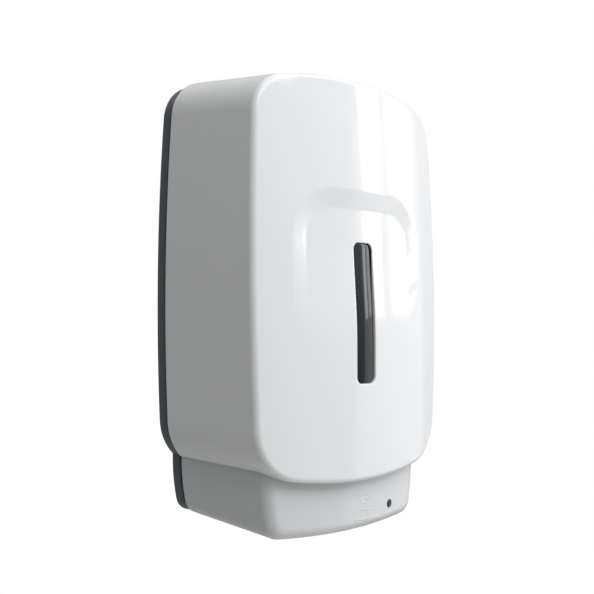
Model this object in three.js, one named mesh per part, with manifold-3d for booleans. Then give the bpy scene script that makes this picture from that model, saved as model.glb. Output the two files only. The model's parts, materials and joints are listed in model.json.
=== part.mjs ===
// Wall-mounted automatic soap dispenser: hinged cover, lift-out tank, peristaltic pump,
// four-cell battery box and a lower housing with the nozzle, hand sensor and cover latch.
// Millimetres. +Z is up, the front faces -Y and the wall is the plane Y = 0. The origin is
// the middle of the back plate's wall face.
import * as THREE from 'three';
import { mergeVertices } from 'three/addons/utils/BufferGeometryUtils.js';
import Module from 'manifold-3d';

const wasm = await Module();
wasm.setup();

// ---------------------------------------------------------------- driving dimensions

const gap = 0.3;                 // clearance between pieces that touch
const far = 400;                 // a cut that runs right through reaches this far

// Cover: a drafted shell with a barrel-shaped outline and a gently curved front
const coverHalfWidth = 80;       // at the front edge
const coverHalfHeight = 113;
const coverMidZ = 10;
const coverDepth = 83.7;         // from the wall to the middle of the front
const coverWall = 2.5;
const coverSideFlare = 4;        // how much wider each side is at its rear edge
const coverTopFlare = 4;         // how much higher the top is at its rear edge
const coverSideBulge = 5.1;
const coverTopBulge = 9.3;
const coverBottomBulge = 9.9;
const coverTopCorner = 24;
const coverBottomCorner = 30;
const coverEdgeRadius = 2.8;     // between the front and the sides
const frontRadius = 333;         // curvature of the fronts across the width
const frontRadiusUpright = 2500; // curvature of the cover's front up and down
const frontLean = 0.028;         // the cover's front is deeper towards the bottom

// Brow: a shallow groove over the window
const browHalfWidth = 55;
const browTop = 50;              // above the cover's middle
const browBottom = 0;
const browBand = 11;
const browCorner = 30;
const browGroove = 1.2;

// Level window
const windowHalfWidth = 8;
const windowHalfLength = 39.6;
const windowCorner = 4;
const windowDrop = 19;           // below the cover's middle
const windowFlange = 2;
const windowThickness = 1.5;

// Lower housing, shaped like the lower half of a smaller barrel
const chinSideStep = 15;         // the front is this much narrower than the cover's, per side
const chinSideFlare = 6;
const chinMidRise = 13;          // centre of the barrel shape above the cover's lower edge
const chinHalfHeight = 42.4;     // at the front
const chinRearRise = 7.4;        // the floor is this much higher at the rear
const chinSideBulge = 6;
const chinBottomBulge = 3;
const chinCorner = 10;
const chinSetBack = 7.4;         // the chin's front behind the cover's, at the middle
const chinEdgeRadius = 6;
const chinWall = 2.5;
const chinTuck = 18;             // how far the chin reaches up into the cover
const chinPassage = 1;           // clearance between the cover's lip and the chin

// Back plate
const panelThickness = 3;
const plateRim = 6.5;            // depth of the plate's outer edge
const plateCollar = 9;           // depth of the recessed collar behind the cover
const plateInset = 1.5;          // the plate is smaller than the cover's rear edge
const collarInset = 2.5;         // and the collar smaller than the plate
const collarWall = 2.5;
const wallHoleX = 50;
const keyholeZ = 62;
const lowerHoleZ = -32;
const keyholeRadius = 4.6;       // passes a screw's head
const keyholeSlot = 2.4;         // half the width that the screw's neck slides up
const keyholeRise = 9.6;
const lowerHoleRadius = 3.1;
const housingScrewInset = 12;    // from the chin's front corner inwards
const housingScrewRise = 10;     // above the chin's rear edge
const housingScrewLength = 13;
const lugHalfWidth = 5;
const lugDepth = 8;

// Cover hinge
const hingeDrop = 11;            // axis below the cover's highest point
const hingeForward = 18;         // axis in front of the wall
const hingeX = 38;
const hingePinRadius = 2;
const hingeEar = 4;              // thickness of each ear
const hingeEarRadius = 4.2;
const hingeSwingRoom = 0.8;      // between the cover's rear top edge and the plate as it swings

// Tank
const tankWall = 2;
const tankSideRoom = 13;         // between the cover's front outline and the tank
const tankRearRoom = 3.2;        // between the battery box and the tank
const tankFrontRoom = 6;         // between the cover's inside and the tank
const tankFloorRoom = 1;         // between the motor and the tank
const tankCorner = 12;
const tankTopRoom = 29;          // between the cover's top edge and the tank's top
const neckRadius = 15;
const neckWall = 2.5;
const neckHeight = 7;
const capRadius = 19;
const capWall = 2.5;
const capGrip = 4;               // height of the grip bar
const spoutRadius = 8;
const spoutBore = 5;
const socketWall = 2;
const socketDepth = 4;           // how far the spout stands in its socket
const bracketHalfWidth = 7;
const bracketThickness = 3;
const sealHeight = 1.6;

// Pump and gears
const deckRise = 16;             // the deck's top above the cover's lower edge
const deckThickness = 3;
const tubeRadius = 3;
const tubeWrapRadius = 15;
const tubeBend = 11.5;
const tubeRun = 18.5;            // straight run from the pump to the outlet bend
const tubeRoom = 0.8;            // clearance around the tube where it passes a wall
const nozzleSetBack = 23.3;      // the nozzle behind the chin's front
const rollerBore = 1.5;
const rollerPinRadius = 1.2;
const rollerRadius = 3.5;
const rollerHeight = 7.4;
const rollerCount = 3;
const rotorDisc = 1.3;
const raceWall = 2.7;
const pumpTopPlate = 2;
const gearThickness = 4;
const finalModule = 1;
const rotorTeeth = 36;
const smallTeeth = 12;
const motorModule = 0.8;
const largeTeeth = 40;
const pinionTeeth = 10;
const finalStageAngle = THREE.MathUtils.degToRad(35);
const motorStageAngle = 0;
const teethClearance = 1.2;      // depth of a tooth below the pitch circle, in modules
const teethHeight = 0.85;        // height of a tooth above it
const rotorShaftRadius = 2.5;
const idlerPinRadius = 1.5;
const motorShaftRadius = 1;
const motorRadius = 10.2;
const motorLength = 26;
const motorBoreDepth = 6;

// Cells and their box
const cellRadius = 7.25;
const cellLength = 50.5;
const cellCount = 4;
const cellRoom = 1.1;            // between neighbouring cells
const cellNub = 2.7;
const cellNubHeight = 1.5;
const boxWall = 1.6;
const boxBottom = -14;
const contactHeight = 2.2;
const contactThickness = 0.7;
const contactReach = 5;          // beyond the axis of its last cell
const contactHalfDepth = 4;
const lidThickness = 2;
const lidPinRadius = 1.1;
const lidBarrelRadius = 1.4;

// Nozzle and hand sensor
const nozzleRadius = 4.6;
const nozzleBore = 2.2;
const nozzleFlange = 6.5;
const nozzleDrop = 17;           // the nozzle's top below the deck's
const sensorX = 17;
const sensorHalfLength = 7;
const sensorHalfWidth = 4;
const eyeSpacing = 6.4;
const eyeRadius = 1.6;
const statusX = 34;
const statusRise = 11.1;         // above the chin's lower edge
const statusRadius = 2.3;
const statusLightRadius = 1.5;
const statusLensDepth = 1.5;     // how far the lens stands behind the chin's wall

// Latch
const latchHalfWidth = 5;
const ribHeight = 3.7;
const ribThickness = 1.5;
const toothDepth = 1.4;
const toothRoom = 0.5;           // between the tooth and the rib
const springX = 8;
const springRadius = 2.2;
const springWire = 0.4;
const springLength = 11;
const springDrop = 11;           // the spring's top below the deck
const stemRoom = 2.5;            // between the nozzle's flange and the latch's stem
const stemThickness = 4.5;

// Control board
const boardThickness = 1.6;
const boardX = 30;
const boardWidth = 31;
const boardLength = 42;
const boardRear = 14;            // its rear edge in front of the wall
const boardLift = 3;             // above the deck
const boardPostRadius = 1.6;
const boardPostInset = 3;        // from the board's edges
const leadRadius = 1.1;
const leadHole = 1.3;            // clearance around the lead that passes the deck

// Power switch
const switchX = 44;
const switchSetBack = 14.3;      // behind the chin's front
const switchTravel = 3;

// Screws
const screwHead = 1.8;
const screwHeadRadius = 2.6;
const screwRadius = 1;
const screwRoom = 0.8;           // around a screw's shank
const deckScrewLength = 6.5;

// ---------------------------------------------------------------- derived places

const coverTopZ = coverMidZ + coverHalfHeight + coverTopFlare;
const coverRearY = -(plateCollar + gap);
const hingeZ = coverTopZ - hingeDrop;
const hingeY = -hingeForward;
const coverLowZ = coverMidZ - coverHalfHeight;
const chinMidZ = coverLowZ + chinMidRise;
const chinLowZ = chinMidZ - chinHalfHeight;
const statusZ = chinLowZ + statusRise;
const chinHalfWidth = coverHalfWidth - chinSideStep;
const chinDepth = coverDepth - chinSetBack;
const nozzleY = nozzleSetBack - chinDepth;
const pumpY = nozzleY + tubeWrapRadius;
const pumpX = -(tubeRun + tubeBend);
const finalDistance = finalModule * (rotorTeeth + smallTeeth) / 2;
const motorDistance = motorModule * (largeTeeth + pinionTeeth) / 2;
const idlerX = pumpX + finalDistance * Math.cos(finalStageAngle);
const idlerY = pumpY + finalDistance * Math.sin(finalStageAngle);
const motorX = idlerX + motorDistance * Math.cos(motorStageAngle);
const motorY = idlerY + motorDistance * Math.sin(motorStageAngle);
const deckTop = coverLowZ + deckRise;
const deckBottom = deckTop - deckThickness;
const cellPitch = 2 * cellRadius + cellRoom;
const rotorGearZ = deckTop + 1;
const largeGearZ = rotorGearZ + gearThickness + 0.5;
const pumpBaseZ = largeGearZ + gearThickness + 0.2;
const pumpFloorZ = pumpBaseZ + pumpTopPlate;
const rollerZ = pumpFloorZ + 2 * gap + rotorDisc + gap;
const tubeZ = rollerZ + rollerHeight / 2;
const rotorTopZ = rollerZ + rollerHeight + gap + rotorDisc;
const raceTopZ = rotorTopZ + gap;
const raceRadius = tubeWrapRadius + tubeRadius + gap;
const rollerOrbit = tubeWrapRadius - tubeRadius - rollerRadius - 2 * gap;
const socketBottomZ = tubeZ + tubeBend;
const boxRearY = -(panelThickness + gap);
const boxInnerDepth = 2 * cellRadius + 1.3;
const boxFrontY = boxRearY - boxInnerDepth - 2 * boxWall;
const boxHalfWidth = (cellCount - 1) * cellPitch / 2 + cellRadius + 0.9 + boxWall;
const tankRear = tankRearRoom - boxFrontY;
const socketX = pumpX + 18;
const socketY = -(tankRear + tankWall + spoutRadius + 0.5);
const cellY = boxRearY - boxWall - boxInnerDepth / 2;
const cellZ = boxBottom + boxWall + gap + contactHeight + gap;
const boxTop = cellZ + cellLength + cellNubHeight + gap + contactHeight + gap;
const tankHalfWidth = coverHalfWidth - tankSideRoom;
const tankFront = coverDepth - coverWall - tankFrontRoom;
const tankTop = coverTopZ - coverTopFlare - tankTopRoom;
const capY = -(tankRear + tankFront) / 2;
const capZ = tankTop + gap;
const capTopZ = tankTop + neckHeight + 1.2 + capWall;
const motorZ = pumpFloorZ + gap;
const motorTopZ = motorZ + motorLength;
const tankBottom = motorTopZ + tankFloorRoom;

// ---------------------------------------------------------------- materials

const plastic = (color, roughness) =>
  new THREE.MeshStandardMaterial({ color, roughness, metalness: 0 });
const metal = (color, roughness) =>
  new THREE.MeshStandardMaterial({ color, roughness, metalness: 1 });
const clear = (color, opacity) =>
  new THREE.MeshStandardMaterial({ color, roughness: 0.15, transparent: true, opacity });

// ---------------------------------------------------------------- solids

function solid(geometry) {
  geometry.deleteAttribute('normal');
  geometry.deleteAttribute('uv');
  const merged = mergeVertices(geometry, 1e-4);
  return new wasm.Manifold(new wasm.Mesh({
    numProp: 3,
    vertProperties: new Float32Array(merged.attributes.position.array),
    triVerts: new Uint32Array(merged.index.array),
  }));
}

const joined = (shapes) => shapes.reduce((whole, shape) => whole.add(shape));

const dispenser = new THREE.Group();

function piece(name, shape, material) {
  const mesh = shape.getMesh();
  const geometry = new THREE.BufferGeometry();
  geometry.setAttribute('position', new THREE.BufferAttribute(mesh.vertProperties, 3));
  geometry.setIndex(new THREE.BufferAttribute(mesh.triVerts, 1));
  geometry.computeVertexNormals();
  const object = new THREE.Mesh(geometry, material);
  object.name = name;
  dispenser.add(object);
  return object;
}

function block(x0, x1, y0, y1, z0, z1) {
  const geometry = new THREE.BoxGeometry(x1 - x0, y1 - y0, z1 - z0);
  geometry.translate((x0 + x1) / 2, (y0 + y1) / 2, (z0 + z1) / 2);
  return solid(geometry);
}

// Maps a shape drawn in (u, v) and extruded along w onto the axes given.
function onto(geometry, u, v, w) {
  const axes = new THREE.Matrix4().makeBasis(u, v, w);
  return geometry.applyMatrix4(axes);
}

const X = new THREE.Vector3(1, 0, 0);
const Y = new THREE.Vector3(0, 1, 0);
const Z = new THREE.Vector3(0, 0, 1);

function extruded(points, depth) {
  const shape = new THREE.Shape(points.map(([u, v]) => new THREE.Vector2(u, v)));
  return new THREE.ExtrudeGeometry(shape, { depth, bevelEnabled: false, curveSegments: 12 });
}

// A prism with its outline in (x, y), between two heights.
function upright(points, z0, z1) {
  return solid(extruded(points, z1 - z0).translate(0, 0, z0));
}

// A prism with its outline in (x, z), from y0 forward to y1, where y1 < y0.
function forward(points, y0, y1) {
  const geometry = onto(extruded(points, y0 - y1), X, Z, Y.clone().negate());
  return solid(geometry.translate(0, y0, 0));
}

// A prism with its outline in (y, z), between two values of x.
function across(points, x0, x1) {
  return solid(onto(extruded(points, x1 - x0), Y, Z, X).translate(x0, 0, 0));
}

function circle(u, v, radius, segments = 18) {
  return Array.from({ length: segments }, (_, i) => {
    const angle = 2 * Math.PI * i / segments;
    return [u + radius * Math.cos(angle), v + radius * Math.sin(angle)];
  });
}

// A slot's outline with round ends, long in the second direction.
function stadium(u, v, halfWidth, halfLength, segments = 7) {
  const points = [];
  for (const side of [1, -1]) {
    for (let i = 0; i <= segments; i++) {
      const angle = (side > 0 ? 0 : Math.PI) + Math.PI * i / segments;
      const centre = v + side * (halfLength - halfWidth);
      points.push([u + halfWidth * Math.cos(angle), centre + halfWidth * Math.sin(angle)]);
    }
  }
  return points;
}

// A turned piece: profile points are (radius, height), about an upright axis at (x, y).
function turned(profile, x = 0, y = 0, segments = 22) {
  const points = profile.map(([r, h]) => new THREE.Vector2(r, h));
  if (THREE.ShapeUtils.isClockWise(points)) {
    points.reverse();
  }
  points.push(points[0]);
  const geometry = new THREE.LatheGeometry(points, segments).rotateX(Math.PI / 2);
  return solid(geometry.translate(x, y, 0));
}

function disc(x, y, radius, z0, z1, segments = 20) {
  return upright(circle(x, y, radius, segments), z0, z1);
}

function ring(x, y, inner, outer, z0, z1, segments = 22) {
  return turned([[inner, z0], [outer, z0], [outer, z1], [inner, z1]], x, y, segments);
}

// ---------------------------------------------------------------- barrel-shaped outlines

const sag = (offset, radius) => radius - Math.sqrt(radius * radius - offset * offset);

// One quarter of a barrel outline: an arch over the middle, a round corner and a bulging
// side, tangent to each other. The inset moves every arc inwards by the same distance.
function quarterOutline(halfWidth, halfHeight, sideBulge, archBulge, corner, inset) {
  const sideRadius = (halfHeight ** 2 + sideBulge ** 2) / (2 * sideBulge);
  const archRadius = (halfWidth ** 2 + archBulge ** 2) / (2 * archBulge);
  const sideX = halfWidth - sideRadius;
  const archZ = halfHeight - archRadius;
  const a = sideRadius - corner;
  const b = archRadius - corner;
  const apart = Math.hypot(sideX, archZ);
  const along = (a * a - b * b + apart * apart) / (2 * apart);
  const beside = Math.sqrt(a * a - along * along);
  const ux = -sideX / apart;
  const uz = archZ / apart;
  const cornerX = sideX + along * ux - beside * uz;
  const cornerZ = along * uz + beside * ux;
  const archEnd = Math.atan2(cornerZ - archZ, cornerX);
  const sideEnd = Math.atan2(cornerZ, cornerX - sideX);
  const points = [];
  const arc = (x, z, radius, from, to, steps, last) => {
    for (let i = 0; i < steps + (last ? 1 : 0); i++) {
      const angle = from + (to - from) * i / steps;
      points.push([x + radius * Math.cos(angle), z + radius * Math.sin(angle)]);
    }
  };
  arc(0, archZ, archRadius - inset, Math.PI / 2, archEnd, 4, false);
  arc(cornerX, cornerZ, Math.max(corner - inset, 0.3), archEnd, sideEnd, 4, false);
  arc(sideX, 0, sideRadius - inset, sideEnd, 0, 2, true);
  return points;
}

// The whole outline, clockwise from the top, as [x, z].
function barrelOutline(form, inset) {
  const top = quarterOutline(form.halfWidth, form.halfHeight, form.sideBulge,
    form.topBulge, form.topCorner, inset);
  const bottom = quarterOutline(form.halfWidth, form.halfHeight, form.sideBulge,
    form.bottomBulge, form.bottomCorner, inset);
  const right = [...top, ...bottom.reverse().slice(1).map(([x, z]) => [x, -z])];
  const left = right.slice(1, -1).reverse().map(([x, z]) => [-x, z]);
  return [...right, ...left].map(([x, z]) => [x, z + form.midZ]);
}

const coverForm = {
  front: {
    halfWidth: coverHalfWidth,
    halfHeight: coverHalfHeight,
    midZ: coverMidZ,
    sideBulge: coverSideBulge,
    topBulge: coverTopBulge,
    bottomBulge: coverBottomBulge,
    topCorner: coverTopCorner,
    bottomCorner: coverBottomCorner,
  },
  face: (x, z) => coverDepth - frontLean * (z - coverMidZ)
    - sag(x, frontRadius) - sag(z - coverMidZ, frontRadiusUpright),
  edge: coverEdgeRadius,
};
coverForm.rear = {
  ...coverForm.front,
  halfWidth: coverHalfWidth + coverSideFlare,
  halfHeight: coverHalfHeight + (coverTopFlare - 1) / 2,
  midZ: coverMidZ + (coverTopFlare + 1) / 2,
};

const chinForm = {
  front: {
    halfWidth: chinHalfWidth,
    halfHeight: chinHalfHeight,
    midZ: chinMidZ,
    sideBulge: chinSideBulge,
    topBulge: chinBottomBulge,
    bottomBulge: chinBottomBulge,
    topCorner: chinCorner,
    bottomCorner: chinCorner,
  },
  face: (x) => chinDepth - sag(x, frontRadius),
  edge: chinEdgeRadius,
};
chinForm.rear = {
  ...chinForm.front,
  halfWidth: chinHalfWidth + chinSideFlare,
  halfHeight: chinHalfHeight - chinRearRise,
};

// A closed body between the form's rear outline and its curved face, with a rounded edge
// between the two. inset moves the sides inwards and faceInset moves the face back.
function formBody(form, inset, faceInset, rearY) {
  const edge = Math.max(form.edge - inset, 0.8);
  const rear = barrelOutline(form.rear, inset);
  const rings = [];
  const faceY = (x, z) => -(form.face(x, z) - faceInset);
  rings.push(rear.map(([x, z]) => [x, rearY, z]));
  const edgeSteps = 3;
  for (let k = 0; k <= edgeSteps; k++) {
    const angle = Math.PI / 2 * k / edgeSteps;
    const points = barrelOutline(form.front, inset + edge * (1 - Math.cos(angle)));
    rings.push(points.map(([x, z]) => [x, faceY(x, z) + edge * (1 - Math.sin(angle)), z]));
  }
  const rim = rings[rings.length - 1];
  const shrinks = 3;
  for (let k = shrinks - 1; k > 0; k--) {
    rings.push(rim.map(([x, , z]) => {
      const px = x * k / shrinks;
      const pz = form.front.midZ + (z - form.front.midZ) * k / shrinks;
      return [px, faceY(px, pz), pz];
    }));
  }
  const vertices = rings.flat(2);
  const count = rear.length;
  const frontMiddle = vertices.length / 3;
  vertices.push(0, faceY(0, form.front.midZ), form.front.midZ);
  const rearMiddle = frontMiddle + 1;
  vertices.push(0, rearY, form.front.midZ);
  const triangles = [];
  for (let i = 0; i < count; i++) {
    const j = (i + 1) % count;
    for (let k = 0; k + 1 < rings.length; k++) {
      const a = k * count;
      const b = a + count;
      triangles.push(a + i, b + i, b + j, a + i, b + j, a + j);
    }
    const last = (rings.length - 1) * count;
    triangles.push(last + i, frontMiddle, last + j, i, j, rearMiddle);
  }
  return new wasm.Manifold(new wasm.Mesh({
    numProp: 3,
    vertProperties: new Float32Array(vertices),
    triVerts: new Uint32Array(triangles),
  }));
}

// ---------------------------------------------------------------- curves and cords

// A quarter (or other) turn of a circle in space, from centre + u towards centre + v.
class Turn extends THREE.Curve {
  constructor(centre, u, v, angle) {
    super();
    Object.assign(this, { centre, u, v, angle });
  }

  getPoint(t, target = new THREE.Vector3()) {
    const angle = this.angle * t;
    return target.copy(this.centre)
      .addScaledVector(this.u, Math.cos(angle))
      .addScaledVector(this.v, Math.sin(angle));
  }
}

class Helix extends THREE.Curve {
  constructor(x, y, radius, z0, z1, turns) {
    super();
    Object.assign(this, { x, y, radius, z0, z1, turns });
  }

  getPoint(t, target = new THREE.Vector3()) {
    const angle = 2 * Math.PI * this.turns * t;
    return target.set(this.x + this.radius * Math.cos(angle),
      this.y + this.radius * Math.sin(angle), this.z0 + (this.z1 - this.z0) * t);
  }
}

function tube(path, radius, steps, sides) {
  const section = new THREE.Shape(circle(0, 0, radius, sides)
    .map(([u, v]) => new THREE.Vector2(u, v)));
  const options = { steps, extrudePath: path, bevelEnabled: false };
  return solid(new THREE.ExtrudeGeometry(section, options));
}

const vec = (x, y, z) => new THREE.Vector3(x, y, z);

// ---------------------------------------------------------------- cover and its window

const windowZ = coverMidZ - windowDrop;

// The window's slot, or a shape that runs round it at an even distance, as [x, z].
function windowOutline(grow) {
  const radius = windowCorner + grow;
  const halfFlat = windowHalfWidth - windowCorner;
  const halfStraight = windowHalfLength - windowCorner;
  const quarters = [[1, 1], [-1, 1], [-1, -1], [1, -1]];
  const steps = 5;
  const points = [];
  quarters.forEach(([right, up], k) => {
    for (let i = 0; i <= steps; i++) {
      const angle = Math.PI / 2 * (k + i / steps);
      points.push([right * halfFlat + radius * Math.cos(angle),
        windowZ + up * halfStraight + radius * Math.sin(angle)]);
    }
  });
  return points;
}

function archBand(halfWidth, top, bottom, corner) {
  const points = [[-halfWidth, bottom]];
  const steps = 6;
  for (const side of [-1, 1]) {
    for (let i = 0; i <= steps; i++) {
      const turn = side < 0 ? i / steps : 1 - i / steps;
      const angle = Math.PI / 2 * turn;
      points.push([side * (halfWidth - corner + corner * Math.cos(angle)),
        top - corner + corner * Math.sin(angle)]);
    }
  }
  points.push([halfWidth, bottom]);
  return points.reverse().map(([x, z]) => [x, z + coverMidZ]);
}

function browCut() {
  const outer = forward(archBand(browHalfWidth, browTop, browBottom, browCorner), 0, -far);
  const inner = forward(archBand(browHalfWidth - browBand, browTop - browBand,
    browBottom - 1, browCorner - browBand), 0, -far);
  return outer.subtract(inner).subtract(formBody(coverForm, 0, browGroove, coverRearY));
}

// The rib that the latch holds stands on the cover's bottom lip, in front of the chin.
const lipY = -(chinDepth + chinPassage);
const lipTopZ = coverLowZ + coverWall;
const ribTopZ = lipTopZ + ribHeight;

function coverEars() {
  const ears = [];
  for (const side of [-1, 1]) {
    const x0 = side * (hingeX - hingeEar / 2) - hingeEar / 2;
    const points = [];
    for (let i = 0; i <= 12; i++) {
      const angle = Math.PI + Math.PI * i / 12;
      points.push([hingeY + hingeEarRadius * Math.cos(angle),
        hingeZ + hingeEarRadius * Math.sin(angle)]);
    }
    points.push([hingeY + hingeEarRadius + 1, coverTopZ]);
    points.push([hingeY - hingeEarRadius - 6, coverTopZ]);
    ears.push(across(points, x0, x0 + hingeEar));
  }
  return joined(ears).intersect(formBody(coverForm, coverWall / 2, coverWall, coverRearY));
}

function makeCover() {
  const outer = formBody(coverForm, 0, 0, coverRearY);
  const hollow = formBody(coverForm, coverWall, coverWall, coverRearY + 1);
  const passage = formBody(chinForm, -chinPassage, -chinPassage, coverRearY + 1);
  const rib = block(-latchHalfWidth - 3, latchHalfWidth + 3,
    lipY - ribThickness, lipY, lipTopZ - 0.5, ribTopZ);
  const slot = forward(windowOutline(0), 0, -far);
  const pins = across(circle(hingeY, hingeZ, hingePinRadius + gap),
    -coverHalfWidth + 20, coverHalfWidth - 20);
  return outer.subtract(hollow).subtract(passage).subtract(slot).subtract(browCut())
    .add(coverEars()).add(rib).subtract(pins);
}

function makeWindow() {
  const flangeBack = coverWall + gap + windowThickness;
  const neck = forward(windowOutline(-gap), -coverDepth + 20, -coverDepth - 10)
    .intersect(formBody(coverForm, 0, 0.4, coverRearY));
  const flange = forward(windowOutline(windowFlange), -coverDepth + 20, -coverDepth - 10)
    .intersect(formBody(coverForm, 0, coverWall + gap, coverRearY));
  return neck.add(flange).subtract(formBody(coverForm, 0, flangeBack, coverRearY + 1));
}

// ---------------------------------------------------------------- back plate

function plateOutline(inset, chinInset, y0, y1) {
  return forward(barrelOutline(coverForm.rear, inset), y0, y1)
    .add(forward(barrelOutline(chinForm.rear, chinInset), y0, y1));
}

function plateEars() {
  const arm = [[-4.8, 0], [-4.8, -22], [15, -34], [15, -20], [3.6, -13], [3.6, -3]];
  const points = arm.map(([y, z]) => [hingeY + y, hingeZ + z]);
  const wide = [];
  for (const side of [-1, 1]) {
    const x0 = side * (hingeX + hingeEar / 2 + gap) + (side < 0 ? -hingeEar : 0);
    wide.push(across(points, x0, x0 + hingeEar)
      .add(across(circle(hingeY, hingeZ, hingeEarRadius), x0, x0 + hingeEar)));
  }
  return wide[0].add(wide[1]);
}

const chinScrewX = chinHalfWidth - housingScrewInset;
const chinScrewZ = chinLowZ + chinRearRise + housingScrewRise;

function makePlate() {
  const hingeReach = Math.hypot(coverRearY - hingeY, coverTopZ - hingeZ)
    + hingeSwingRoom;
  const swing = across(circle(hingeY, hingeZ, hingeReach, 48), -coverHalfWidth * 1.2,
    coverHalfWidth * 1.2);
  const inner = plateInset + collarInset;
  let plate = plateOutline(plateInset, plateInset / 2, 0, -plateRim)
    .add(plateOutline(inner, plateInset / 2 + collarInset, -plateRim + 1, -plateCollar))
    .subtract(plateOutline(inner + collarWall, plateInset / 2 + collarInset + collarWall,
      -panelThickness, -plateCollar - 5))
    .subtract(swing)
    .add(plateEars())
    .subtract(across(circle(hingeY, hingeZ, hingePinRadius + gap), -coverHalfWidth,
      coverHalfWidth));
  for (const side of [-1, 1]) {
    const x = side * wallHoleX;
    const drill = (outline) => forward(outline, 1, -panelThickness - 1);
    plate = plate
      .subtract(drill(circle(x, keyholeZ, keyholeRadius)))
      .subtract(drill(stadium(x, keyholeZ + keyholeRise / 2, keyholeSlot,
        keyholeRise / 2 + keyholeSlot)))
      .subtract(drill(circle(x, lowerHoleZ, lowerHoleRadius)))
      .subtract(drill(circle(side * chinScrewX, chinScrewZ, screwRadius + screwRoom)))
      .subtract(forward(circle(side * chinScrewX, chinScrewZ, screwHeadRadius + 0.5), 1,
        -screwHead - 0.4));
  }
  return plate;
}

// ---------------------------------------------------------------- lower housing

const chinRearY = coverRearY;
const stemY0 = nozzleY - nozzleFlange - stemRoom;
const stemY1 = stemY0 - stemThickness;
const buttonHalfWidth = 5;

// The floor slopes, so its underside is taken from the same blend as the housing.
function chinFloorZ(y) {
  const t = (-y + chinRearY) / (chinDepth + chinRearY);
  return chinLowZ + chinRearRise * (1 - t);
}

const deckHalfWidth = chinHalfWidth - 5;
const ledgeX = deckHalfWidth - 4;
const ledgeHalfLength = 15;
const ledgeShift = 2.8;          // back from the middle of the chin
const ledgeY = (chinRearY - chinDepth) / 2 + ledgeShift;
const ledgeTopZ = deckBottom - gap;

function chinSupports() {
  const supports = [-1, 1].flatMap((side) => {
    const lug = side * chinScrewX;
    const [x0, x1] = side < 0
      ? [-chinHalfWidth - 9, -ledgeX + 4]
      : [ledgeX - 4, chinHalfWidth + 9];
    return [
      block(x0, x1, ledgeY - ledgeHalfLength, ledgeY + ledgeHalfLength, ledgeTopZ - 5,
        ledgeTopZ),
      block(lug - lugHalfWidth, lug + lugHalfWidth, chinRearY - lugDepth, chinRearY, chinLowZ,
        chinScrewZ + lugHalfWidth),
    ];
  });
  return joined(supports).intersect(formBody(chinForm, 1, 1, chinRearY));
}

function makeChin() {
  let chin = formBody(chinForm, 0, 0, chinRearY)
    .subtract(formBody(chinForm, chinWall, chinWall, chinRearY + 1))
    .subtract(block(-far, far, -far, far, coverLowZ + chinTuck, far))
    .add(chinSupports())
    .subtract(block(-latchHalfWidth - 2, latchHalfWidth + 2, -chinDepth - 5, -chinDepth + 6,
      hookBottomZ - 1, 0))
    .subtract(disc(0, nozzleY, nozzleRadius + gap, -far, ledgeTopZ))
    .subtract(block(-buttonHalfWidth - gap, buttonHalfWidth + gap, stemY1 - gap, stemY0 + gap,
      -far, ledgeTopZ))
    .subtract(sensorPocket(0))
    .subtract(forward(circle(statusX, statusZ, statusRadius + gap), -chinDepth + 30,
      -chinDepth - 10));
  for (const side of [-1, 1]) {
    chin = chin
      .subtract(forward(circle(side * chinScrewX, chinScrewZ, screwRadius + screwRoom, 14),
        chinRearY + 1, chinRearY - lugDepth + 1))
      .subtract(disc(side * ledgeX, ledgeY, screwRadius + 0.6, ledgeTopZ - 4.5, ledgeTopZ + 1,
        14));
  }
  return chin;
}

function sensorPocket(inset) {
  const halfLength = sensorHalfLength - inset;
  const halfWidth = sensorHalfWidth - inset;
  return block(sensorX - halfLength, sensorX + halfLength, nozzleY - halfWidth,
    nozzleY + halfWidth, -far, chinFloorZ(nozzleY) + 5);
}

function makeSensorWindow() {
  return sensorPocket(gap).intersect(formBody(chinForm, 0.3, 0.3, chinRearY))
    .subtract(formBody(chinForm, chinWall - 0.3, chinWall, chinRearY + 1));
}

function makeStatusLens() {
  return forward(circle(statusX, statusZ, statusRadius, 20), -chinDepth + 30, -chinDepth - 10)
    .intersect(formBody(chinForm, 0.2, 0.2, chinRearY))
    .subtract(formBody(chinForm, chinWall + statusLensDepth, chinWall + statusLensDepth,
      chinRearY + 1));
}

// ---------------------------------------------------------------- latch

const hingeToRib = Math.hypot(lipY - ribThickness - hingeY, ribTopZ - hingeZ);
const ribInnerReach = Math.min(hingeToRib, Math.hypot(lipY - hingeY, ribTopZ - hingeZ));
const toothY0 = lipY - ribThickness - toothRoom;
const toothY1 = toothY0 - toothDepth;
const toothBottomZ = hingeZ
  - Math.sqrt((ribInnerReach - gap - 0.1) ** 2 - (toothY1 - hingeY) ** 2);
const hookBottomZ = toothBottomZ + 1;
const hookTopZ = hookBottomZ + 2.4;
const springTopZ = deckBottom - springDrop;
const shoulderZ = springTopZ - springLength;
const buttonZ = chinFloorZ((stemY0 + stemY1) / 2);

const latchPlateY = stemY1 + 2;
const stopRadius = springRadius + 0.6;
const springY = latchPlateY + gap + stopRadius;

function makeLatch() {
  return joined([
    block(-buttonHalfWidth, buttonHalfWidth, stemY1, stemY0, buttonZ + 0.4, buttonZ + 8),
    block(-buttonHalfWidth, springX + 3, stemY1, latchPlateY, buttonZ + 7, hookTopZ),
    block(springX - 3, springX + 3, stemY1, springY + 3, shoulderZ - 2.5, shoulderZ),
    block(-latchHalfWidth, latchHalfWidth, toothY1, latchPlateY, hookBottomZ, hookTopZ),
    block(-latchHalfWidth, latchHalfWidth, toothY1, toothY0, toothBottomZ, hookTopZ),
  ]);
}

function makeLatchSpring() {
  const coil = new Helix(springX, springY, springRadius - springWire,
    shoulderZ + gap + springWire, springTopZ - gap - springWire, 5);
  return tube(coil, springWire, 48, 5);
}

// ---------------------------------------------------------------- deck, pump housing and lid

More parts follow.
